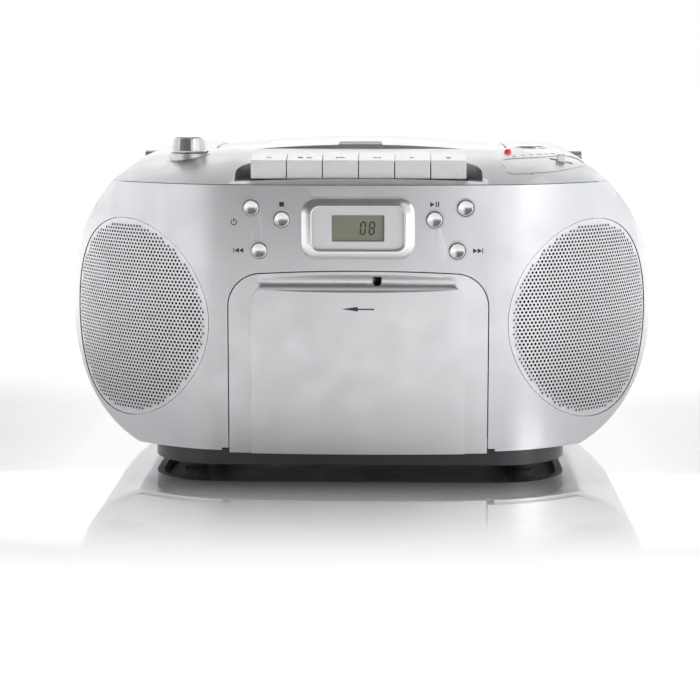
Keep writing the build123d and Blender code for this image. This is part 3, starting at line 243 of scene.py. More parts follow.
silver_case = finish("silver_paint", (0.53, 0.54, 0.556), (0.60, 0.608, 0.62), 0.82, 0.34, coat=0.25)
silver_shell = finish("silver_paint_shell", (0.50, 0.51, 0.525), (0.57, 0.578, 0.59), 0.82, 0.36, coat=0.15)
silver_door = finish("silver_door", (0.56, 0.57, 0.584), (0.63, 0.638, 0.65), 0.82, 0.32, coat=0.25)
silver_gloss = finish("silver_gloss", (0.66, 0.666, 0.676), (0.73, 0.735, 0.742), 0.75, 0.22, coat=0.5,
                      bump=0.06)
silver_panel = finish("silver_satin", (0.60, 0.61, 0.625), (0.67, 0.68, 0.69), 0.7, 0.4, bump=0.1)
key_white = finish("key_plastic", (0.74, 0.743, 0.75), (0.81, 0.812, 0.816), 0.12, 0.26, coat=0.4, bump=0.05)
grille_metal = finish("grille_metal", (0.49, 0.498, 0.512), (0.58, 0.588, 0.60), 0.85, 0.33, grain=1800.0,
                      wear=0.7)
dark_plastic = finish("dark_plastic", (0.016, 0.017, 0.019), (0.03, 0.031, 0.034), 0.0, 0.46, grain=1600.0,
                      bump=0.3, wear=0.35)
plinth_plastic = finish("plinth_plastic", (0.05, 0.052, 0.056), (0.085, 0.087, 0.092), 0.1, 0.42,
                        grain=1500.0, bump=0.3, wear=0.3)
cone_paper = finish("cone_paper", (0.018, 0.018, 0.02), (0.04, 0.04, 0.042), 0.0, 0.85, grain=2400.0,
                    bump=0.6, wear=0.1)
rubber = finish("rubber", (0.02, 0.02, 0.021), (0.045, 0.045, 0.047), 0.0, 0.72, grain=2000.0, bump=0.5,
                wear=0.3)
white_plastic = finish("white_plastic", (0.72, 0.72, 0.70), (0.80, 0.80, 0.78), 0.0, 0.38, bump=0.1)
steel = finish("steel", (0.50, 0.505, 0.51), (0.62, 0.625, 0.63), 1.0, 0.28, grain=2600.0, bump=0.2,
               wear=0.4)
chrome = finish("chrome", (0.78, 0.785, 0.79), (0.86, 0.865, 0.87), 1.0, 0.09, grain=2600.0, bump=0.03,
                wear=0.2)
brass = finish("brass", (0.62, 0.44, 0.18), (0.74, 0.56, 0.27), 1.0, 0.26, grain=2600.0, bump=0.15, wear=0.5)
# Black ink for print, also used as painted shade: the dark disc that stands for the pin hole on the top.
print_ink_and_shade = finish("print_ink_and_shade", (0.018, 0.02, 0.024), (0.03, 0.032, 0.036), 0.0, 0.5, grain=3000.0, bump=0.1,
                   wear=0.0)
grey_ink = finish("grey_ink", (0.20, 0.205, 0.21), (0.27, 0.275, 0.28), 0.0, 0.5, grain=3000.0, bump=0.1,
                  wear=0.0)


def led_red():
    """A red light behind clear plastic, dimly lit."""
    made, nodes, links, shader = material("led_red")
    set_sockets(shader, Roughness=0.12, Transmission_Weight=0.25, IOR=1.5, Coat_Weight=0.6,
                Emission_Strength=0.35)
    glow = noise(nodes, links, 900.0, 2.0)
    share = ranged(nodes, links, glow, 0.0, 1.0)
    tone = mixed(nodes, links, share, (0.62, 0.012, 0.016), (0.85, 0.04, 0.04))
    links.new(tone, shader.inputs["Base Color"])
    links.new(tone, shader.inputs["Emission Color"])
    return made


def liquid_crystal():
    """The display's olive-grey reflector with a faint dot screen."""
    made, nodes, links, shader = material("lcd")
    set_sockets(shader, Coat_Weight=0.8, Coat_Roughness=0.05, Roughness=0.5)
    dots = nodes.new("ShaderNodeTexVoronoi")
    dots.inputs["Scale"].default_value = 3200.0
    place = nodes.new("ShaderNodeTexCoord")
    links.new(place.outputs["Object"], dots.inputs["Vector"])
    screen = ranged(nodes, links, dots.outputs["Distance"], 0.0, 0.3, 0.1, 0.6)
    tone = mixed(nodes, links, screen, (0.215, 0.225, 0.165), (0.25, 0.26, 0.19))
    clouds = ranged(nodes, links, noise(nodes, links, 40.0, 2.0), 0.0, 0.4)
    tone = mixed(nodes, links, clouds, tone, (0.27, 0.285, 0.215))
    links.new(tone, shader.inputs["Base Color"])
    return made


def circuit_board():
    """Green solder mask with copper tracks under it."""
    made, nodes, links, shader = material("circuit")
    set_sockets(shader, Roughness=0.35, Coat_Weight=0.4)
    place = nodes.new("ShaderNodeTexCoord")
    brick = nodes.new("ShaderNodeTexBrick")
    brick.inputs["Scale"].default_value = 90.0
    brick.inputs["Mortar Size"].default_value = 0.035
    brick.inputs["Color1"].default_value = (0.01, 0.09, 0.035, 1)
    brick.inputs["Color2"].default_value = (0.012, 0.12, 0.045, 1)
    brick.inputs["Mortar"].default_value = (0.05, 0.22, 0.07, 1)
    links.new(place.outputs["Object"], brick.inputs["Vector"])
    speck = ranged(nodes, links, noise(nodes, links, 700.0), 0.0, 0.25)
    tone = mixed(nodes, links, speck, brick.outputs["Color"], (0.1, 0.3, 0.12))
    links.new(tone, shader.inputs["Base Color"])
    bumped(nodes, links, shader, brick.outputs["Fac"], 0.3, 0.05 * MM)
    return made


led = led_red()
lcd = liquid_crystal()
circuit = circuit_board()

NODE_FINISHES = (
    (lcd, ("lcd_module",)),
    (led, ("power_led",)),
    (circuit, ("button_board", "main_board")),
    (silver_panel, ("display_panel",)),
    (dark_plastic, ("cassette_holder", "cd_well", "battery_tray", "mains_inlet", "cd_turntable",
                    "laser_sled")),
    (steel, ("deck_chassis", "tape_head", "deck_motor", "key_shaft", "cd_motor", "sled_rails",
             "volume_control", "handle_pins", "case_screws", "power_transformer", "aerial_pin",
             "capstan_flywheel")),
    (rubber, ("drive_belt", "pinch_roller", "rubber_feet")),
    (white_plastic, ("disc_clamp", "supply_spindle", "takeup_spindle")),
    (brass, ("motor_pulley",)),
    (cone_paper, ("left_speaker", "right_speaker")),
    (chrome, ("aerial_rod", "aerial_tip")),
)


def dress(node, made):
    """Gives a CAD node its material."""
    mesh = frame["nodes"][node].data
    mesh.materials.clear()
    mesh.materials.append(made)


for node_finish, node_names in NODE_FINISHES:
    for node_name in node_names:
        dress(node_name, node_finish)


# ============================================================================================
# Mesh helpers
# ============================================================================================
def placed(name, mesh, made, body, slot):
    """Puts a mesh in the scene as a piece that rides on a body."""
    mesh.materials.clear()
    mesh.materials.append(made)
    piece = bpy.data.objects.new(name, mesh)
    bpy.context.scene.collection.objects.link(piece)
    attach(piece, body)
    return piece


def smoothed(mesh, angle):
    """Smooth shading, with sharp edges past an angle in degrees."""
    mesh.polygons.foreach_set("use_smooth", [True] * len(mesh.polygons))
    mesh.set_sharp_from_angle(angle=math.radians(angle))


def built(name, points, faces):
    """A mesh from points and faces, all faces turned outwards."""
    mesh = bpy.data.meshes.new(name)
    mesh.from_pydata([tuple(point) for point in points], [], faces)
    work = bmesh.new()
    work.from_mesh(mesh)
    bmesh.ops.recalc_face_normals(work, faces=work.faces)
    work.to_mesh(mesh)
    work.free()
    return mesh


def led_by_area(mesh, angle):
    """Corner normals led by the largest faces, so a flat panel stays flat beside its fillets."""
    limit = math.cos(math.radians(angle))
    around = [[] for _ in mesh.vertices]
    for face in mesh.polygons:
        for vertex in face.vertices:
            around[vertex].append((face.normal.copy(), (face.area * 1e6) ** 2))
    normals = []
    for face in mesh.polygons:
        own = face.normal.copy()
        for vertex in face.vertices:
            total = own * 1e-9
            for normal, weight in around[vertex]:
                if normal.dot(own) > limit:
                    total += normal * weight
            normals.append(total.normalized())
    mesh.polygons.foreach_set("use_smooth", [True] * len(mesh.polygons))
    mesh.normals_split_custom_set(normals)


def refined(node, made, slot, width, segments=2, angle=26.0):
    """A CAD piece rebuilt with merged faces and rounded edges."""
    source = frame["nodes"][node]
    mesh = source.data.copy()
    if "custom_normal" in mesh.attributes:
        mesh.attributes.remove(mesh.attributes["custom_normal"])
    work = bmesh.new()
    work.from_mesh(mesh)
    bmesh.ops.remove_doubles(work, verts=work.verts, dist=WELD)
    bmesh.ops.dissolve_limit(work, angle_limit=math.radians(0.08), verts=work.verts, edges=work.edges)
    bmesh.ops.recalc_face_normals(work, faces=work.faces)
    work.to_mesh(mesh)
    work.free()
    smoothed(mesh, angle)
    piece = placed(f"{node}_skin", mesh, made, source["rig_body"], slot)
    bevel = piece.modifiers.new("edges", "BEVEL")
    bevel.width = width
    bevel.segments = segments
    bevel.limit_method = "ANGLE"
    bevel.angle_limit = math.radians(angle)
    bevel.miter_outer = "MITER_ARC"
    bevel.use_clamp_overlap = True
    baked(piece)
    led_by_area(piece.data, 40.0)
    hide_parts(node)


def baked(piece):
    """Applies a piece's modifiers to its mesh."""
    bpy.context.view_layer.update()
    view = bpy.context.evaluated_depsgraph_get()
    mesh = bpy.data.meshes.new_from_object(piece.evaluated_get(view))
    old = piece.data
    piece.modifiers.clear()
    piece.data = mesh
    bpy.data.meshes.remove(old)


def lofted(name, loops, capped=True):
    """A skin through loops of equal length, with or without its ends."""
    count = len(loops[0])
    points = [point for loop in loops for point in loop]
    faces = []
    for row in range(len(loops) - 1):
        for k in range(count):
            after = (k + 1) % count
            low, high = row * count, (row + 1) * count
            faces.append((low + k, low + after, high + after, high + k))
    if capped:
        faces.append(tuple(range(count)))
        faces.append(tuple(range((len(loops) - 1) * count, len(loops) * count)))
    return built(name, points, faces)


def rounded_rectangle(width, height, radius, steps=10):
    """Points round a rectangle with rounded corners, about its middle."""
    points = []
    corners = ((1, 1, 0), (-1, 1, 90), (-1, -1, 180), (1, -1, 270))
    for right, up, start in corners:
        centre = (right * (width / 2 - radius), up * (height / 2 - radius))
        for k in range(steps + 1):
            turn = math.radians(start + 90 * k / steps)
            points.append((centre[0] + radius * math.cos(turn), centre[1] + radius * math.sin(turn)))
    return points


def circle(radius, steps):
    return [(radius * math.cos(2 * math.pi * k / steps), radius * math.sin(2 * math.pi * k / steps))
            for k in range(steps)]


# ============================================================================================
# Speaker grilles
# ============================================================================================
def grille_flat():
    """The perforated sheet laid flat: points as (length along the plan, height), and its faces."""
    middle_run = plan_run(SPEAKER_X)
    x0, y0, turn0 = plan_at(middle_run)

    def across(run):
        x, y, _ = plan_at(middle_run + run)
        return (x - x0) * math.cos(turn0) + (y - y0) * math.sin(turn0)

    def run_for(distance):
        run = distance
        for _ in range(8):
            run += distance - across(run)
        return run

    half_pitch = HOLE_PITCH / 2
    lean = HOLE_PITCH ** 2 / (8 * HOLE_ROW)
    tip, shoulder = HOLE_ROW / 2 + lean, HOLE_ROW / 2 - lean
    corners = [(0, tip), (-half_pitch, shoulder), (-half_pitch, -shoulder),
               (0, -tip), (half_pitch, -shoulder), (half_pitch, shoulder)]
    outline = []
    for k in range(6):
        after = corners[(k + 1) % 6]
        outline += [corners[k], ((corners[k][0] + after[0]) / 2, (corners[k][1] + after[1]) / 2)]
    points, faces, index = [], [], {}

    def vertex(u, v):
        key = (round(u / (0.01 * MM)), round(v / (0.01 * MM)))
        if key not in index:
            index[key] = len(points)
            points.append((u, v))
        return index[key]

    rows = int(GRILLE_R / HOLE_ROW) + 1
    for row in range(-rows, rows + 1):
        shift = half_pitch if row % 2 else 0.0
        for column in range(-rows - 4, rows + 5):
            u, v = column * HOLE_PITCH + shift, row * HOLE_ROW
            reach = max(math.hypot(across(u + a), v + b) for a, b in outline)
            if reach > GRILLE_R - GRILLE_RIM:
                continue
            ring = [vertex(u + a, v + b) for a, b in outline]
            hole = []
            for a, b in outline:
                turn = math.atan2(b, a)
                hole.append(vertex(u + HOLE_R * math.cos(turn), v + HOLE_R * math.sin(turn)))
            for k in range(len(ring)):
                after = (k + 1) % len(ring)
                faces.append((ring[k], ring[after], hole[after], hole[k]))
    rim = [vertex(run_for(GRILLE_R * math.cos(t)), GRILLE_R * math.sin(t))
           for t in (2 * math.pi * k / RIM_STEPS for k in range(RIM_STEPS))]
    return points, faces, rim, middle_run


def round_a_hole(edge):
    """Whether an open edge belongs to a hole, and not to the outside of the perforated field."""
    face_centre = edge.link_faces[0].calc_center_median()
    middle = (edge.verts[0].co + edge.verts[1].co) / 2
    return edge.calc_length() < HOLE_R * 0.7 and (middle - face_centre).length < 1.2 * HOLE_R


def grille_mesh():
    """The sheet with its rim filled, bent to the cabinet and given its thickness."""
    points, faces, rim, middle_run = grille_flat()
    work = bmesh.new()
    verts = [work.verts.new((u, v, 0)) for u, v in points]
    for face in faces:
        work.faces.new([verts[k] for k in face])
    border = [edge for edge in work.edges if len(edge.link_faces) == 1 and not round_a_hole(edge)]
    for k, start in enumerate(rim):
        border.append(work.edges.new((verts[start], verts[rim[(k + 1) % len(rim)]])))
    bmesh.ops.triangle_fill(work, use_beauty=True, edges=border, normal=(0, 0, 1))
    work.verts.index_update()
    flat = [(v.co.x, v.co.y) for v in work.verts]
    skin = []
    for face in work.faces:
        order = [v.index for v in face.verts]
        skin.append(order if face.normal.z > 0 else order[::-1])
    rims = [tuple(vert.index for vert in edge.verts) for edge in work.edges if len(edge.link_faces) == 1]
    work.free()
    count = len(flat)
    solid = []
    for depth in (GRILLE_FACE, GRILLE_FACE + GRILLE_SHEET):
        for u, v in flat:
            x, y, _ = plan_at(middle_run + u, depth)
            solid.append((x, y, SPEAKER_Z + v))
    walls = [(a, b, b + count, a + count) for a, b in rims]
    back = [tuple(k + count for k in reversed(face)) for face in skin]
    return built("grille", solid, skin + back + walls)


def grilles():
    """The right grille and its mirror image."""
    right = grille_mesh()
    smoothed(right, 40.0)
    left = right.copy()
    work = bmesh.new()
    work.from_mesh(left)
    bmesh.ops.scale(work, vec=(-1, 1, 1), verts=work.verts)
    bmesh.ops.reverse_faces(work, faces=work.faces)
    work.to_mesh(left)
    work.free()
    for side, mesh in (("right", right), ("left", left)):
        piece = placed(f"{side}_grille_sheet", mesh, grille_metal, "cabinet", "grille_metal")
        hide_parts(f"{side}_grille")


# ============================================================================================
# Display, buttons, knob
# ============================================================================================
def front_loop(points, centre, out):
    """A loop of (x, z) offsets laid on the plane that faces front, out from the front's foremost point."""
    return [(centre[0] + a, FRONT_Y - out, centre[1] + b) for a, b in points]


def bezel():
    """The display's raised frame: a soft slope up to a rounded lip, then the inner wall."""
    outer, inner = BEZEL, BEZEL_INNER
    profile = ((0.0, -1.2), (0.0, 0.25), (0.03, 0.55), (0.10, 0.86), (0.35, 1.42), (0.6, 1.86), (0.8, 2.12),
               (0.9, 2.2), (0.96, 2.14), (1.0, 1.9), (1.0, -1.0))
    loops = []
    for share, out in profile:
        size = [a + (b - a) * share for a, b in zip(outer, inner)]
        loops.append(front_loop(rounded_rectangle(*size, 12), (0, DISPLAY_Z), out * MM))
    mesh = lofted("display_bezel", loops, capped=False)
    smoothed(mesh, 50.0)
    piece = placed("display_frame", mesh, silver_gloss, "cabinet", "silver_gloss")
    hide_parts("display_bezel")


def front_button(name, x, z):
    """A dished button with a soft rim."""
    x, z = x * MM, z * MM
    face = surface_y(x)
    r, out = BUTTON_R, BUTTON_PROUD
    flange = r + 1.4 * MM
    edge, dish, least = 0.55 * MM, 0.62 * MM, 0.05 * MM
    profile = [(flange, -6.5 * MM), (flange, -4.2 * MM), (r, -4.1 * MM), (r, out - edge)]
    for k in range(1, 5):
        turn = math.radians(90 * k / 4)
        profile.append((r - edge * (1 - math.cos(turn)), out - edge * (1 - math.sin(turn))))
    for k in range(1, 7):
        share = 1 - k / 7
        profile.append(((r - 0.6 * MM) * share, out - dish * (1 - share ** 2)))
    loops = [[(x + a, face - height, z + b) for a, b in circle(max(radius, least), 56)]
             for radius, height in profile]
    mesh = lofted(name, loops)
    smoothed(mesh, 45.0)
    piece = placed(f"{name}_cap", mesh, silver_gloss, f"{name}_body", "silver_gloss")
    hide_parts(name)


def volume_knob():
    """The tapered knob with soft flats round its side and a low dome on top."""
    low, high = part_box("volume_knob")
    centre = ((low.x + high.x) / 2, (low.y + high.y) / 2)
    base, top = KNOB_BASE, high.z
    profile = ((3.0, low.z), (3.0, base - 0.2 * MM), (10.2, base), (10.6, base + 0.4 * MM),
               (10.6, base + 0.9 * MM), (9.95, base + 1.2 * MM), (9.75, base + 2.6 * MM),
               (9.1, top - 2.2 * MM), (8.95, top - 1.5 * MM), (8.7, top - 0.95 * MM), (8.2, top - 0.6 * MM),
               (7.2, top - 0.38 * MM), (5.0, top - 0.16 * MM), (2.4, top - 0.04 * MM), (0.1, top))
    steps, flats = 144, 10
    loops = []
    for radius, z in profile:
        loop = []
        for k in range(steps):
            turn = 2 * math.pi * k / steps
            part = (turn % (2 * math.pi / flats)) - math.pi / flats
            limit = KNOB_FLAT / math.cos(part) if base + 1.0 * MM < z < top - 0.9 * MM else 1.0
            reach = radius * MM * min(1.0, limit)
            loop.append((centre[0] + reach * math.cos(turn), centre[1] + reach * math.sin(turn), z))
        loops.append(loop)
    mesh = lofted("volume_knob", loops)
    smoothed(mesh, 50.0)
    piece = placed("volume_knob_cap", mesh, silver_gloss, "volume", "silver_gloss")
    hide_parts("volume_knob")


# ============================================================================================
# Printed marks, on thin plates that also carry painted shade
# ============================================================================================
def arrow_right(size, x=0.0):
    return [(x, -size / 2), (x + size * 0.86, 0), (x, size / 2)]


def bar(x, width, height):
    return [(x, -height / 2), (x + width, -height / 2), (x + width, height / 2), (x, height / 2)]


def flipped(shapes):
    return [[(-x, y) for x, y in reversed(shape)] for shape in shapes]


def power_mark(size):
    """A broken ring with a stroke in its gap."""
    outer, inner = size / 2, size / 2 * 0.72
    ring = []
    for k in range(11):
        start, end = math.radians(125 + 29 * k), math.radians(125 + 29 * (k + 1))
        ring.append([(radius * math.cos(t), radius * math.sin(t))
                     for radius, t in ((inner, start), (outer, start), (outer, end), (inner, end))])
    stroke = [(x, y + size * 0.32) for x, y in bar(-size * 0.07, size * 0.14, size * 0.5)]
    return ring + [stroke]


def symbols(size):
    """The usual signs of players, as flat shapes about their middles."""
    play = [arrow_right(size, -size * 0.43)]
    double = [arrow_right(size, -size * 0.86), arrow_right(size, 0.0)]
    skip = double + [bar(size * 0.9, size * 0.16, size)]
    pause = [bar(-size * 0.38, size * 0.26, size), bar(size * 0.12, size * 0.26, size)]
    stop = [bar(-size * 0.45, size * 0.9, size * 0.9)]
    eject = [[(-size * 0.5, -size * 0.1), (size * 0.5, -size * 0.1), (0, size * 0.5)],
             [(x, y - size * 0.38) for x, y in bar(-size * 0.5, size, size * 0.18)]]
    play_pause = [arrow_right(size, -size * 0.85), bar(size * 0.18, size * 0.24, size),
                  bar(size * 0.62, size * 0.24, size)]
    stop_eject = ([[(x - size * 0.8, y) for x, y in shape] for shape in stop]
                  + [[(x + size * 0.8, y) for x, y in shape] for shape in eject])
    return {"play": play, "forward": double, "rewind": flipped(double), "next": skip, "back": flipped(skip),
            "pause": pause, "stop": stop, "play_pause": play_pause, "stop_eject": stop_eject,
            "record": [circle(size * 0.48, 20)], "power": power_mark(size * 1.25)}


def printed_or_shaded(name, shapes, place, made, body):
    """Ink shapes, each a thin plate, used for print and for painted shade; place(x, y, out) gives a point on
    the surface.
    """
    points, faces = [], []
    for shape in shapes:
        start, count = len(points), len(shape)
        for out in (0.05 * MM, -0.02 * MM):
            points += [place(x, y, out) for x, y in shape]
        faces.append(tuple(range(start, start + count)))
        faces.append(tuple(range(start + 2 * count - 1, start + count - 1, -1)))
        for k in range(count):
            after = (k + 1) % count
            faces.append((start + k, start + after, start + count + after, start + count + k))
    placed(name, built(name, points, faces), made, body, "black_plastic")


def on_front(centre_x, centre_z):
    """A function for a point on the front, about a centre."""
    def point(x, y, out):
        return front_point(centre_x + x, centre_z + y, out)
    return point


def front_marks():
    """The signs beside the front buttons and the arrow on the door."""
    marks = symbols(2.9 * MM)
    spots = (("stop", "stop_mark", -42.0, 152.6), ("play_pause", "play_mark", 42.0, 152.6),
             ("back", "back_mark", -65.8, 127.0), ("next", "next_mark", 65.8, 127.0),
             ("power", "power_mark", -68.6, 142.6))
    for symbol, name, x, z in spots:
        printed_or_shaded(name, marks[symbol], on_front(x * MM, z * MM), print_ink_and_shade, "cabinet")
    arrow = ((-9.0, 0.0), (0.0, -1.3), (0.0, -0.5), (9.0, -0.5), (9.0, 0.3), (0.0, 0.3), (0.0, 1.3))
    low_arrow = [[(x * MM, y * MM) for x, y in arrow]]
    arrow_z, door_out = 95.0 * MM, 1.2 * MM

    def place(x, y, out):
        return front_point(x, arrow_z + y, door_out + out)
    printed_or_shaded("door_arrow", low_arrow, place, print_ink_and_shade, "door")


def key_marks():
    """A sign on the sloping top of each key."""
    marks = symbols(3.0 * MM)
    order = ("pause", "stop_eject", "forward", "rewind", "play", "record")
    rise = (KEY_TOP_BACK[1] - KEY_TOP_FRONT[1]) / (KEY_TOP_BACK[0] - KEY_TOP_FRONT[0])
    for key, symbol in zip(KEYS, order):
        low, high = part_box(key)
        middle = (low.x + high.x) / 2

        def place(x, y, out, middle=middle):
            depth = KEY_MARK_Y + y
            top = KEY_TOP_FRONT[1] + (depth - KEY_TOP_FRONT[0]) * rise
            return (middle + x, depth, top + out)
        printed_or_shaded(f"{key}_mark", marks[symbol], place, print_ink_and_shade, f"{key}_body")


SEGMENTS = {"0": "abcdef", "1": "bc", "2": "abged", "4": "fgbc", "6": "afgecd", "8": "abcdefg", "9": "abcdfg"}


def digit(character, width, height, stroke):
    """Seven-segment digit as hexagon strokes."""
    w, h, s, gap = width / 2, height / 2, stroke / 2, stroke * 0.12
    ends = {"a": ((-w, h), (w, h)), "b": ((w, h), (w, 0)), "c": ((w, 0), (w, -h)), "d": ((-w, -h), (w, -h)),
            "e": ((-w, 0), (-w, -h)), "f": ((-w, h), (-w, 0)), "g": ((-w, 0), (w, 0))}
    shapes = []
    for name in SEGMENTS[character]:
        (x0, y0), (x1, y1) = ends[name]
        if y0 == y1:
            shapes.append([(x0 + gap, y0), (x0 + gap + s, y0 - s), (x1 - gap - s, y0 - s), (x1 - gap, y0),
                           (x1 - gap - s, y0 + s), (x0 + gap + s, y0 + s)])
        else:
            shapes.append([(x0, y0 - gap), (x0 - s, y0 - gap - s), (x0 - s, y1 + gap + s), (x0, y1 + gap),
                           (x0 + s, y1 + gap + s), (x0 + s, y0 - gap - s)])
    return shapes


def display_digits():
    """The two slanted digits that the display shows."""
    shapes = []
    for character, x in (("0", 2.7), ("8", 7.6)):
        slant = 0.08
        for shape in digit(character, 2.5 * MM, 6.6 * MM, 0.85 * MM):
            shapes.append([(a + x * MM + slant * b, b) for a, b in shape])
    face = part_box("lcd_module")[0].y

    def place(x, y, out):
        return (x, face - out, DISPLAY_Z + y)
    printed_or_shaded("display_digits", shapes, place, print_ink_and_shade, "cabinet")


# ============================================================================================
# Marks, ridges and the painted-shade pin hole on the top
# ============================================================================================
def lying_on(node):
    """A function for a point on a node, under a place seen from above and lifted by out."""
    mesh = frame["nodes"][node].data
    tree = BVHTree.FromPolygons([vertex.co.copy() for vertex in mesh.vertices],
                                [tuple(face.vertices) for face in mesh.polygons])

    def point(x, y, out):
        spot = tree.ray_cast(Vector((x, y, 0.3)), Vector((0, 0, -1)))[0]
        return (x, y, spot.z + out)
    return point


on_top = lying_on("top_cover")
on_lid = lying_on("cd_lid")


def smooth_line(knots, each=10):
    """A closed Catmull-Rom line through knots."""
    points = []
    for k in range(len(knots)):
        around = [knots[(k + step) % len(knots)] for step in (-1, 0, 1, 2)]
        for part in range(each):
            t = part / each
            points.append(tuple(0.5 * (2 * b + (c - a) * t + (2 * a - 5 * b + 4 * c - d) * t * t
                                       + (3 * b - a - 3 * c + d) * t ** 3) for a, b, c, d in zip(*around)))
    return points


RIDGE_SECTION = ((-0.5, -0.12), (-0.42, 0.35), (-0.22, 0.85), (0.0, 1.0), (0.22, 0.85), (0.42, 0.35),
                 (0.5, -0.12))


def ridge(name, knots, width, height, made, place=on_top, body="cabinet"):
    """A low rounded ridge along a closed line on the top."""
    line = smooth_line(knots)
    loops = []
    for k, (x, y) in enumerate(line):
        after, before = line[(k + 1) % len(line)], line[k - 1]
        along = Vector((after[0] - before[0], after[1] - before[1])).normalized()
        loops.append([place(x + along.y * a * width, y - along.x * a * width, b * height)
                      for a, b in RIDGE_SECTION])
    loops.append(loops[0])
    mesh = lofted(name, loops, capped=False)
    work = bmesh.new()
    work.from_mesh(mesh)
    bmesh.ops.remove_doubles(work, verts=work.verts, dist=0.001 * MM)
    work.to_mesh(mesh)
    work.free()
    smoothed(mesh, 60.0)
    placed(name, mesh, made, body, "silver_case")


def turned_shapes(shapes, centre, angle):
    """Flat shapes turned and moved to a centre."""
    c, s = math.cos(angle), math.sin(angle)
    return [[(centre[0] + x * c - y * s, centre[1] + x * s + y * c) for x, y in shape] for shape in shapes]


LEAF = ((86.2, -98.7), (82.0, -91.5), (80.0, -84.5), (82.2, -78.1), (99.9, -65.3), (117.7, -48.5),
        (122.6, -46.8), (126.6, -50.6), (128.0, -60.5), (110.0, -84.0))
SCALE_NUMBERS = (("88", 87.7, -69.1), ("92", 93.1, -64.6), ("96", 97.9, -60.3), ("100", 102.6, -56.2),
                 ("104", 106.9, -52.2), ("108", 111.0, -48.3))
SCALE_TURN = math.radians(40)
LID_TAB = (24.8 * MM, 10.4 * MM, 1.6 * MM)
LID_TAB_Y = -49.0 * MM
VOLUME_CENTRE = (-98.5 * MM, -60.0 * MM)
VOLUME_WEDGE_R = 13.4 * MM
# The pin hole is not cut: a dark disc of painted shade at this place and radius stands in for its dark
# inside.
PIN_HOLE = (96.1 * MM, -94.4 * MM)
PIN_HOLE_R = 0.85 * MM


def tuning_scale():
    """The tuning scale's numbers, in seven strokes."""
    shapes = []
    for text, x, y in SCALE_NUMBERS:
        for index, character in enumerate(text):
            shift = (index - (len(text) - 1) / 2) * 1.5 * MM
            for shape in digit(character, 0.8 * MM, 1.5 * MM, 0.26 * MM):
                moved = [(a + shift, b) for a, b in shape]
                shapes += turned_shapes([moved], (x * MM, y * MM), SCALE_TURN)
    printed_or_shaded("tuning_scale", shapes, on_top, grey_ink, "cabinet")


def volume_wedge():
    """A band round the volume knob that widens as it goes."""
    def spot(radius, turn):
        return (VOLUME_CENTRE[0] + radius * math.cos(turn), VOLUME_CENTRE[1] + radius * math.sin(turn))

    stations = [(math.radians(205 + 130 * k / 25), (0.12 + 0.9 * k / 25) * MM) for k in range(26)]
    shapes = []
    for (turn, wide), (next_turn, next_wide) in zip(stations, stations[1:]):
        shapes.append([spot(VOLUME_WEDGE_R, next_turn), spot(VOLUME_WEDGE_R + next_wide, next_turn),
                       spot(VOLUME_WEDGE_R + wide, turn), spot(VOLUME_WEDGE_R, turn)])
    printed_or_shaded("volume_wedge", shapes, on_top, grey_ink, "cabinet")


def top_marks():
    """The raised leaf, the lid's tab, the numbers, the volume wedge, and a dark disc of painted shade for the
    pin hole.
    """
    ridge("leaf_outline", [(x * MM, y * MM) for x, y in LEAF], 1.1 * MM, 0.38 * MM, silver_case)
    tab = [(x, y + LID_TAB_Y) for x, y in rounded_rectangle(*LID_TAB, 3)]
    ridge("lid_tab_outline", tab, 0.9 * MM, 0.5 * MM, silver_case, on_lid, "lid")
    tuning_scale()
    volume_wedge()
    # Painted shade: a flat black disc stands for the pin hole's dark inside; no hole is cut.
    hole = [(PIN_HOLE[0] + a, PIN_HOLE[1] + b) for a, b in circle(PIN_HOLE_R, 20)]
    printed_or_shaded("pin_hole_painted_shade", [hole], on_top, print_ink_and_shade, "cabinet")


# ============================================================================================
# Build
# ============================================================================================
grilles()
bezel()
for button, (spot_x, spot_z) in BUTTONS.items():
    front_button(button, spot_x, spot_z)
volume_knob()
display_digits()
front_marks()
key_marks()
top_marks()
for skin_node, skin_finish, skin_slot, edge_width in (
    ("front_cabinet", silver_case, "silver_case", 0.45 * MM),
    ("rear_cabinet", silver_shell, "silver_case", 0.5 * MM),
    ("top_cover", silver_case, "silver_case", 0.45 * MM),
    ("cassette_door", silver_door, "silver_case", 0.5 * MM),
    ("cd_lid", silver_case, "silver_gloss", 0.5 * MM),
    ("handle", silver_case, "silver_case", 1.4 * MM),
    ("base_plinth", plinth_plastic, "silver_case", 0.8 * MM),
    ("battery_door", silver_shell, "silver_case", 0.35 * MM),
    ("tuning_knob", silver_gloss, "silver_gloss", 0.3 * MM),
    ("function_slider", silver_gloss, "silver_gloss", 0.3 * MM),
):
    refined(skin_node, skin_finish, skin_slot, edge_width)
for key_name in KEYS:
    refined(key_name, key_white, "silver_gloss", 0.45 * MM, 3)


# ============================================================================================
# Floor, light and camera
# ============================================================================================
def emitter(name, colour, strength):
    """A plain glow of one colour."""
    made = bpy.data.materials.new(name)
    made.use_nodes = True
    nodes, links = made.node_tree.nodes, made.node_tree.links
    nodes.clear()
    glow = nodes.new("ShaderNodeEmission")
    glow.inputs["Color"].default_value = (*colour, 1.0)
    glow.inputs["Strength"].default_value = strength
    out = nodes.new("ShaderNodeOutputMaterial")
    links.new(glow.outputs["Emission"], out.inputs["Surface"])
    return made


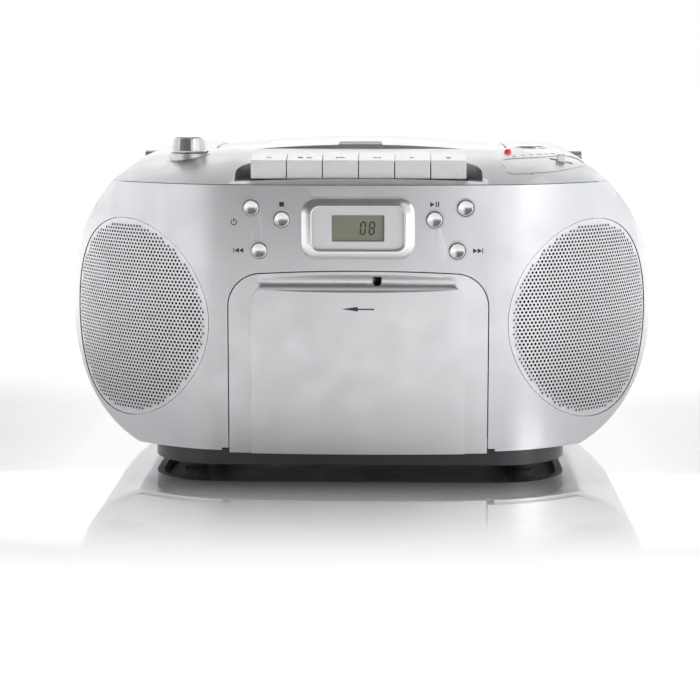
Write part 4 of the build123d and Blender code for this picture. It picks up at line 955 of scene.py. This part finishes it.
def card(name, centre, size, facing, colour, strength):
    """A light or dark board that the camera doesn't see."""
    half_w, half_h = size[0] / 2, size[1] / 2
    corners = [(-half_w, -half_h, 0), (half_w, -half_h, 0), (half_w, half_h, 0), (-half_w, half_h, 0)]
    mesh = built(name, corners, [(0, 1, 2, 3)])
    mesh.materials.append(emitter(f"{name}_glow", colour, strength))
    board = bpy.data.objects.new(name, mesh)
    bpy.context.scene.collection.objects.link(board)
    board.location = centre
    towards = Vector(facing) - Vector(centre)
    board.rotation_euler = towards.to_track_quat("Z", "Y").to_euler()
    board.visible_camera = False


def vector_step(nodes, links, operation, first, second=None):
    """One vector operation on a socket."""
    step = nodes.new("ShaderNodeVectorMath")
    step.operation = operation
    links.new(first, step.inputs[0])
    if second is not None:
        step.inputs[1].default_value = second
    return step.outputs["Value"] if operation == "LENGTH" else step.outputs["Vector"]


FLOOR_HALF = 12.0
FOOT_HALF = (0.13, 0.105, 1.0)      # what lies within this of the middle mirrors fully
MIRROR_FADE = (0.035, 0.185)
GLOW_FADE = (0.02, 0.4)
MIRROR_SHARE = 0.985
GLOW = 0.95
GLOW_SIDEWAYS = (0.4, 1.0, 1.0)     # the glow starts later beside the object than before it


def floor():
    """A white table that mirrors the object's foot and fades to plain white."""
    half = FLOOR_HALF
    mesh = built("floor", [(-half, -half, 0), (half, -half, 0), (half, half, 0), (-half, half, 0)],
                 [(0, 1, 2, 3)])
    made = bpy.data.materials.new("floor_white")
    made.use_nodes = True
    nodes, links = made.node_tree.nodes, made.node_tree.links
    nodes.clear()
    place = nodes.new("ShaderNodeTexCoord")
    absolute = vector_step(nodes, links, "ABSOLUTE", place.outputs["Object"])
    beyond = vector_step(nodes, links, "SUBTRACT", absolute, FOOT_HALF)
    outside = vector_step(nodes, links, "MAXIMUM", beyond, (0, 0, 0))
    away = vector_step(nodes, links, "LENGTH", outside)
    sideways = vector_step(nodes, links, "MULTIPLY", outside, GLOW_SIDEWAYS)
    reach = vector_step(nodes, links, "LENGTH", sideways)
    plain = nodes.new("ShaderNodeBsdfDiffuse")
    plain.inputs["Color"].default_value = (0.93, 0.93, 0.935, 1)
    gloss = nodes.new("ShaderNodeBsdfGlossy")
    gloss.inputs["Roughness"].default_value = 0.03
    gloss.inputs["Color"].default_value = (0.97, 0.97, 0.975, 1)
    blend = nodes.new("ShaderNodeMixShader")
    links.new(ranged(nodes, links, away, MIRROR_SHARE, 0.0, *MIRROR_FADE), blend.inputs[0])
    links.new(plain.outputs[0], blend.inputs[1])
    links.new(gloss.outputs[0], blend.inputs[2])
    glow = nodes.new("ShaderNodeEmission")
    links.new(ranged(nodes, links, reach, 0.0, GLOW, *GLOW_FADE), glow.inputs["Strength"])
    both = nodes.new("ShaderNodeAddShader")
    links.new(blend.outputs[0], both.inputs[0])
    links.new(glow.outputs[0], both.inputs[1])
    out = nodes.new("ShaderNodeOutputMaterial")
    links.new(both.outputs[0], out.inputs["Surface"])
    mesh.materials.append(made)
    slab = bpy.data.objects.new("floor", mesh)
    bpy.context.scene.collection.objects.link(slab)


def area(name, location, target, size, power):
    """A soft rectangular lamp aimed at a target."""
    light = bpy.data.lights.new(name, "AREA")
    light.shape = "RECTANGLE"
    light.size, light.size_y = size
    light.energy = power
    lamp = bpy.data.objects.new(name, light)
    bpy.context.scene.collection.objects.link(lamp)
    lamp.location = location
    lamp.rotation_euler = (Vector(target) - Vector(location)).to_track_quat("-Z", "Y").to_euler()


def studio():
    """A white room with dark boards that shape the front, a bright board behind and two lamps."""
    world = bpy.data.worlds.new("studio")
    world.use_nodes = True
    background = world.node_tree.nodes["Background"]
    background.inputs["Color"].default_value = (1, 1, 1, 1)
    background.inputs["Strength"].default_value = 1.0
    bpy.context.scene.world = world
    bpy.context.scene.view_settings.view_transform = "Standard"
    tint, middle = (1, 1, 1.03), (0, 0, 0.15)
    card("front_flag", (-0.20, -0.90, 0.38), (0.74, 0.66), (-0.20, 0, 0.38), tint, 0.01)
    card("left_flag", (-0.80, -0.62, 0.58), (0.8, 0.62), (-0.1, 0, 0.15), tint, 0.03)
    card("upper_flag", (0.1, -0.85, 0.88), (1.7, 0.6), middle, tint, 0.03)
    card("ceiling_flag", (0, 0.15, 1.2), (2.4, 0.75), middle, tint, 0.08)
    card("back_softbox", (0, 1.5, 0.78), (2.6, 0.9), middle, (1, 1, 1), 1.65)
    area("front_softbox", (0.1, -1.2, 1.2), (0, -0.75, 0), (1.2, 0.4), 11)
    area("right_softbox", (1.1, -0.95, 0.55), (0.05, 0, 0.1), (0.5, 0.8), 3)


def place_camera():
    """A long lens a little above the object, looking down on it."""
    data = bpy.data.cameras.new("camera")
    data.lens = 106.25
    data.sensor_width = 36.0
    camera = bpy.data.objects.new("camera", data)
    bpy.context.scene.collection.objects.link(camera)
    camera.location = (0.024, -1.250, 0.2332)
    camera.rotation_euler = (math.radians(81.902), 0.0, math.radians(1.436))
    bpy.context.scene.camera = camera


floor()
studio()
place_camera()
